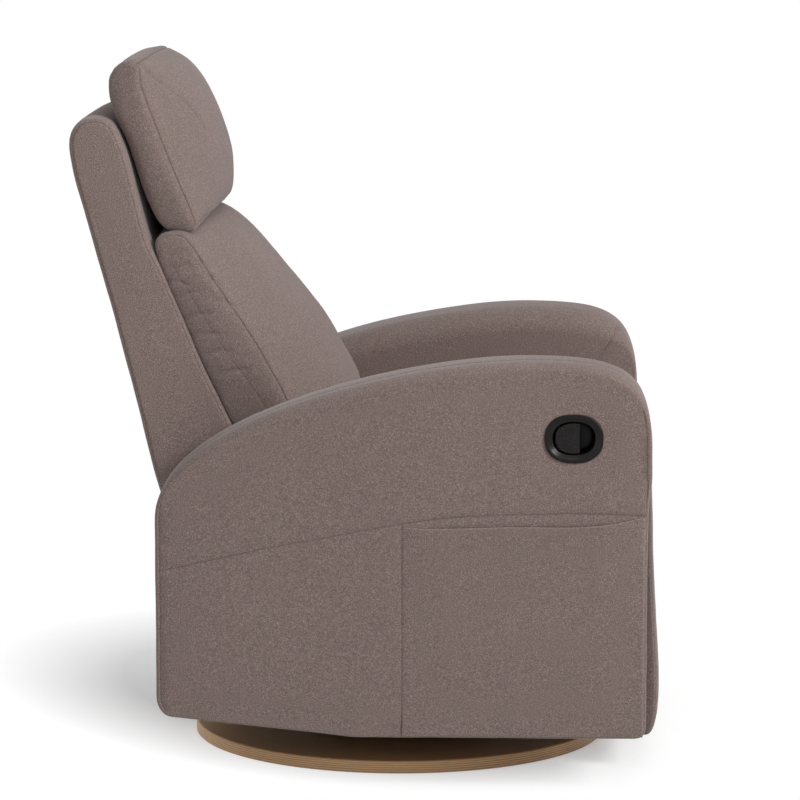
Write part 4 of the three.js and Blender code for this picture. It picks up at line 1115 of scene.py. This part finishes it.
def bezel(material):
    """The release's surround: a flange with a dished face, and a cup with a bowl for its floor."""
    vertices, count = [], 72
    for half, floor, rows in ((BEZEL_HALF, 0.0, FLANGE_ROWS), (APERTURE_HALF, 0.0, THROAT_ROWS),
                              (APERTURE_HALF, -CUP_DEPTH, BOWL_ROWS)):
        for longer, taller, out in rows:
            ring = superellipse(half[0] + longer, half[1] + taller, count=count)
            vertices += [place(-ARM_OUTER - (floor + out), f, z) for f, z in ring]
    faces = joined(0, len(vertices) // count, count, closed=True)
    made = object_from("release_surround", vertices, faces, material)
    subdivide(made)
    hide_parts("release_bezel")
    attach(made, "chassis")


def paddle(material):
    """The pull: an oval plate with a straight front edge, on a knuckle round its pin."""
    ring = superellipse(*PADDLE_HALF, power=2.4, count=90)
    kept = ring[ring[:, 0] < PADDLE_FRONT]
    order = np.argsort(np.arctan2(kept[:, 1] - BEZEL[1], kept[:, 0] - BEZEL[0]) % (2 * math.pi))
    outline = resampled(kept[order], 0.9)
    face = -ARM_OUTER + PADDLE_SINK
    made = slab("release_pull", outline, face, face + PADDLE_THICK, 0.9, material, spacing=1.8,
                crown=(1.2, 0.0), bulge=0.0, steps=5)
    middle, count = face + PADDLE_THICK, KNUCKLE_SIDES
    rings = [(KNUCKLE * 0.82, -KNUCKLE_HALF), (KNUCKLE, -KNUCKLE_HALF + 0.9),
             (KNUCKLE, KNUCKLE_HALF - 0.9), (KNUCKLE * 0.82, KNUCKLE_HALF)]
    vertices = [place(middle + math.cos(a) * radius, PIN_FORWARD + math.sin(a) * radius,
                      BEZEL[1] + along) for radius, along in rings for a in round_turn(count)]
    faces = joined(0, len(rings), count)
    faces += [tuple(range(count))[::-1], tuple(range(3 * count, 4 * count))]
    knuckle = object_from("release_knuckle", vertices, faces, material)
    knuckle.parent = made
    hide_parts("release_paddle")
    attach(made, "release_paddle")


def board_outline(shares, rear, bottom, depth, height):
    return np.array((rear, bottom)) + np.asarray(shares) * (depth, height)


def back_shell(cloth):
    """The boxed back, sewn round both of its sides."""
    outline = board_outline(BACK_SHARES, BACK_REAR, BACK_BOTTOM, BACK_DEPTH, BACK_HEIGHT)
    outline = smoothed(resampled(outline, 5.0), 8)
    made = slab("back_cover", outline, -BACK_HALF, BACK_HALF, BACK_RADIUS, cloth, crown=(1.5, 1.5),
                bulge=5.0, flat=0.4)
    loop = inset(outline, BACK_SEAM_DRAWN)
    # The seams get painted shade along them
    seams = [seam_on(made, at_side(x, loop), True, depth=0.9, width=1.1, pucker=0.3, swell=0.4,
                     dark=0.7) for x in (-BACK_HALF, BACK_HALF)]
    relief(made, seams, lumps=0.6, size=90.0, seed=11.0)
    upholstered(made, "back_shell", "back")


def back_front(up):
    """How far forward the back's front face lies at a height."""
    outline = board_outline(BACK_SHARES, BACK_REAR, BACK_BOTTOM, BACK_DEPTH, BACK_HEIGHT)
    rising = outline[BACK_FRONT_ROW:][::-1]
    return np.interp(up, rising[:, 1], rising[:, 0])


def cushion(name, rows, sizes, cloth, body, cad, seed, reach=CUSHION_REACH, extra=(),
            hold=None, clip=None, front=None):
    """A stuffed piece, sewn along its side edges; front says where the side seams start and end."""
    made, edge = stuffed(name, rows, sizes, cloth)
    remesh(made, CUSHION_VOXEL, 2)
    if clip:
        clip(made)
    loop = edge
    if front:
        first, last = (int(np.argmin(np.linalg.norm(edge - p, axis=1))) for p in front)
        loop = edge[first:last + 1] if first < last else np.vstack([edge[first:], edge[:last + 1]])
    ends = (-sizes["seam"], sizes["seam"])
    seams = [seam_on(made, at_side(x, loop), not front, **CUSHION_SEAM) for x in ends]
    folds = []
    for line, look in extra:
        laid = seam_on(made, spline(line, closed=False), **look)
        (seams if look["dark"] > FOLD_DARK else folds).append(laid)
    fixed = [p for seam in seams for p in seam["points"]]
    fixed += [place(*p) for x in ends for p in at_side(x, edge)]
    inflate(made, fixed, hold)
    kept_within(made, reach)
    subdivide(made)
    refine(made, seams)
    relief(made, seams + folds, lumps=0.8, size=80.0, seed=seed)
    upholstered(made, cad, body)


def mirrored(points, side):
    return [(side * x, f, z) for x, f, z in points]


def lumbar(cloth):
    def clip(made):
        points = coordinates(made.data)
        face = np.array([back_front(z) for z in points[:, 2] / MM]) + 1.0
        points[:, 1] = -np.maximum(-points[:, 1] / MM, face) * MM
        set_coordinates(made.data, points)

    def hold(x, f, z):
        return f < back_front(z) + LUMBAR_HELD

    extra = [(at_side(x, GUSSET_LINE), GUSSET_LOOK) for x in (-GUSSET_ACROSS, GUSSET_ACROSS)]
    for side in (-1, 1):
        for (f0, z0), (f1, z1) in WRINKLES:
            along = [(f0, z0), ((f0 + f1) / 2, (z0 + z1) / 2 + WRINKLE_SAG), (f1, z1)]
            line = [(x, f, z) for x, (f, z) in zip(WRINKLE_ACROSS, along)]
            extra.append((mirrored(line, side), WRINKLE_LOOK))
    cushion("lumbar_pillow", LUMBAR_SHARES, LUMBAR, cloth, "back", "lumbar_cushion", 21.0,
            extra=extra, hold=hold, clip=clip, front=((-304, 770), (-142, 490)))


def headrest(cloth):
    extra = [(mirrored(half[:0:-1], -1) + half, CUSHION_SEAM) for half in (TOP_SEAM, FOOT_SEAM)]
    extra += [(mirrored(CORNER_FOLD, side), FOLD_LOOK) for side in (-1, 1)]
    cushion("headrest_pillow", HEADREST_SHARES, HEADREST, cloth, "back", "headrest", 31.0,
            reach=HEADREST_REACH, extra=extra, front=((-358, 992), (-283, 767)))


def seat(cloth):
    cushion("seat_pillow", SEAT_SHARES, SEAT, cloth, "seat", "seat_cushion", 41.0,
            hold=lambda x, f, z: z < SEAT_HELD_BELOW)


def footrest(cloth):
    """The footrest's padded board, sewn along its side edges, with a painted shadow down each side
    where it passes the arms.
    """
    rows = board_outline(PAD_SHARES, PAD_REAR, PAD_BOTTOM, PAD_DEPTH, PAD_HEIGHT)
    outline = smoothed(resampled(spline(rows), 4.0), 2)
    made = slab("footrest_cover", outline, -PAD_HALF, PAD_HALF, PAD_RADIUS, cloth, spacing=6.0,
                crown=(1.5, 1.5), roll=PAD_ROLL, bulge=PAD_BULGE, flat=0.6, steps=9)
    loop = [p for p in inset(outline, 3.0) if p[0] > PAD_REAR + 2 and p[1] > PAD_BOTTOM + 9]
    loop = sorted(loop, key=lambda p: p[1])
    ends = (-PAD_HALF, PAD_HALF)
    # The seams get painted shade along them
    seams = [seam_on(made, at_side(x, loop), depth=0.5, width=1.0, pucker=0.3, swell=0.15,
                     dark=0.5) for x in ends]
    # Painted shadow: a soft dark strip down each side of the pad, where the arms shade it
    shadow_heights = np.linspace(PAD_BOTTOM + 8, PAD_SHADOW_TOP, 80)
    painted_shadows = [line_at([place(x, PAD_REAR + PAD_SHADOW_FORWARD, z) for z in shadow_heights], depth=0.0, width=14.0,
                      swell=0.0) for x in ends]
    refine(made, seams)
    relief(made, seams + painted_shadows, lumps=0.9, size=85.0, seed=51.0)
    upholstered(made, "footrest_pad", "footrest")


def pocket(cloth, thread):
    """The pocket's front: one layer of cloth with a turned hem, standing a little open."""
    across, up = 84, 76
    low, high = POCKET_REAR, POCKET_FRONT
    mouth = spline(POCKET_MOUTH, closed=False)
    vertices, faces = [], []
    for i in range(across + 1):
        f = low + (high - low) * i / across
        top = np.interp(f, mouth[:, 0], mouth[:, 1])
        ends = min(1.0, min(f - low, high - f) / POCKET_EASE)
        for j in range(up + 1):
            t = j / up
            z = POCKET_BOTTOM + (top - POCKET_BOTTOM) * t
            bag = (POCKET_STANDS + POCKET_BELLY * math.sin(math.pi * t) * ends
                   + POCKET_GAPE * t ** 7 * ends ** 0.5)
            sag = noise.noise((f / 90.0, z / 70.0, 4.0)) * 0.8 * ends
            vertices.append(place(-ARM_OUTER - bag - sag, f, z))
    for i in range(across):
        for j in range(up):
            a = i * (up + 1) + j
            faces.append((a, a + up + 1, a + up + 2, a + 1))
    made = object_from("side_pocket_cloth", vertices, faces, cloth)
    turn = made.modifiers.new("cloth", "SOLIDIFY")
    turn.thickness, turn.offset = POCKET_CLOTH * MM, 0.0
    apply_modifiers(made)
    subdivide(made)
    # The hem gets painted shade along it
    hem = seam_on(made, at_side(-ARM_OUTER - 4, spline(POCKET_HEM, closed=False)), depth=0.6,
                  width=1.0, pucker=0.2, dark=0.4)
    refine(made, [hem], reach=4.0, rounds=1)
    relief(made, [hem], lumps=0.0)
    stitches(made, hem["points"], thread)
    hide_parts("side_pocket")
    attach(made, "chassis")


def rear_panel(cloth):
    """The rear board's cloth, with a hem that hangs over the rail's lower edge."""
    low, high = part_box("rear_panel")
    f0, f1 = -high.y / MM, -low.y / MM
    z0, z1 = low.z / MM - PANEL_HEM, high.z / MM
    radius = min(PANEL_CORNER, (f1 - f0) / 2 - 0.5)
    corners = [(f1 - radius, z0), (f1, z0 + radius), (f1, z1 - radius), (f1 - radius, z1),
               (f0 + radius, z1), (f0, z1 - radius), (f0, z0 + radius), (f0 + radius, z0)]
    outline = smoothed(resampled(corners, 3.0), 3)
    made = slab("rear_panel_cover", outline, low.x / MM, high.x / MM, 2.5, cloth, spacing=5.0,
                crown=(0.2, 0.2))
    relief(made, [], lumps=0.3, size=80.0, seed=61.0)
    upholstered(made, "rear_panel", "chassis")


make_camera()
make_world()
for lamp, row in LAMPS.items():
    make_lamp(lamp, *row)
make_floor()

CLOTH = fabric("taupe_weave")
# Painted light: the back's cloth is the same cloth 13% lighter, standing in for more light on the
# back
BACK_CLOTH_PAINTED_LIGHT = fabric("taupe_weave_back_painted_light", 1.13)
BEZEL_PLASTIC = black_plastic("bezel_plastic", 0.05, srgb(24, 20, 19), 0.32)
PADDLE_PLASTIC = black_plastic("paddle_plastic", 0.9, srgb(26, 23, 23), 0.42)

# The hard pieces: each takes the first material whose row has the start of its name
COVERED = {"arm_right", "arm_left", "side_pocket", "back_shell", "lumbar_cushion", "headrest",
           "seat_cushion", "footrest_pad", "rear_panel"}
FINISHES = [
    (("base_disc",), plywood()),
    (("floor_pad",), felt()),
    (("release_bezel",), BEZEL_PLASTIC),
    (("release_paddle", "paddle_pin"), PADDLE_PLASTIC),
    (("headrest_stay",), black_plastic("stay_plastic", 0.3, srgb(36, 35, 34), 0.5)),
    (("front_roller", "rear_roller"), nylon()),
    (("seat_spring", "swivel_bearing"), zinc_steel()),
    (("arm_frame", "back_frame", "footrest_board", "front_rail", "rear_rail"), timber()),
    (("",), black_steel()),
]
for name in nodes:
    if name not in COVERED:
        materials = nodes[name].data.materials
        materials.clear()
        materials.append(next(look for starts, look in FINISHES if name.startswith(starts)))

arm("arm_cover_right", -1, "arm_right", CLOTH)
arm("arm_cover_left", 1, "arm_left", CLOTH)
back_shell(BACK_CLOTH_PAINTED_LIGHT)
lumbar(CLOTH)
headrest(CLOTH)
seat(CLOTH)
footrest(CLOTH)
pocket(CLOTH, thread_material())
rear_panel(CLOTH)
bezel(BEZEL_PLASTIC)
paddle(PADDLE_PLASTIC)

bpy.context.scene.view_settings.view_transform = "Standard"
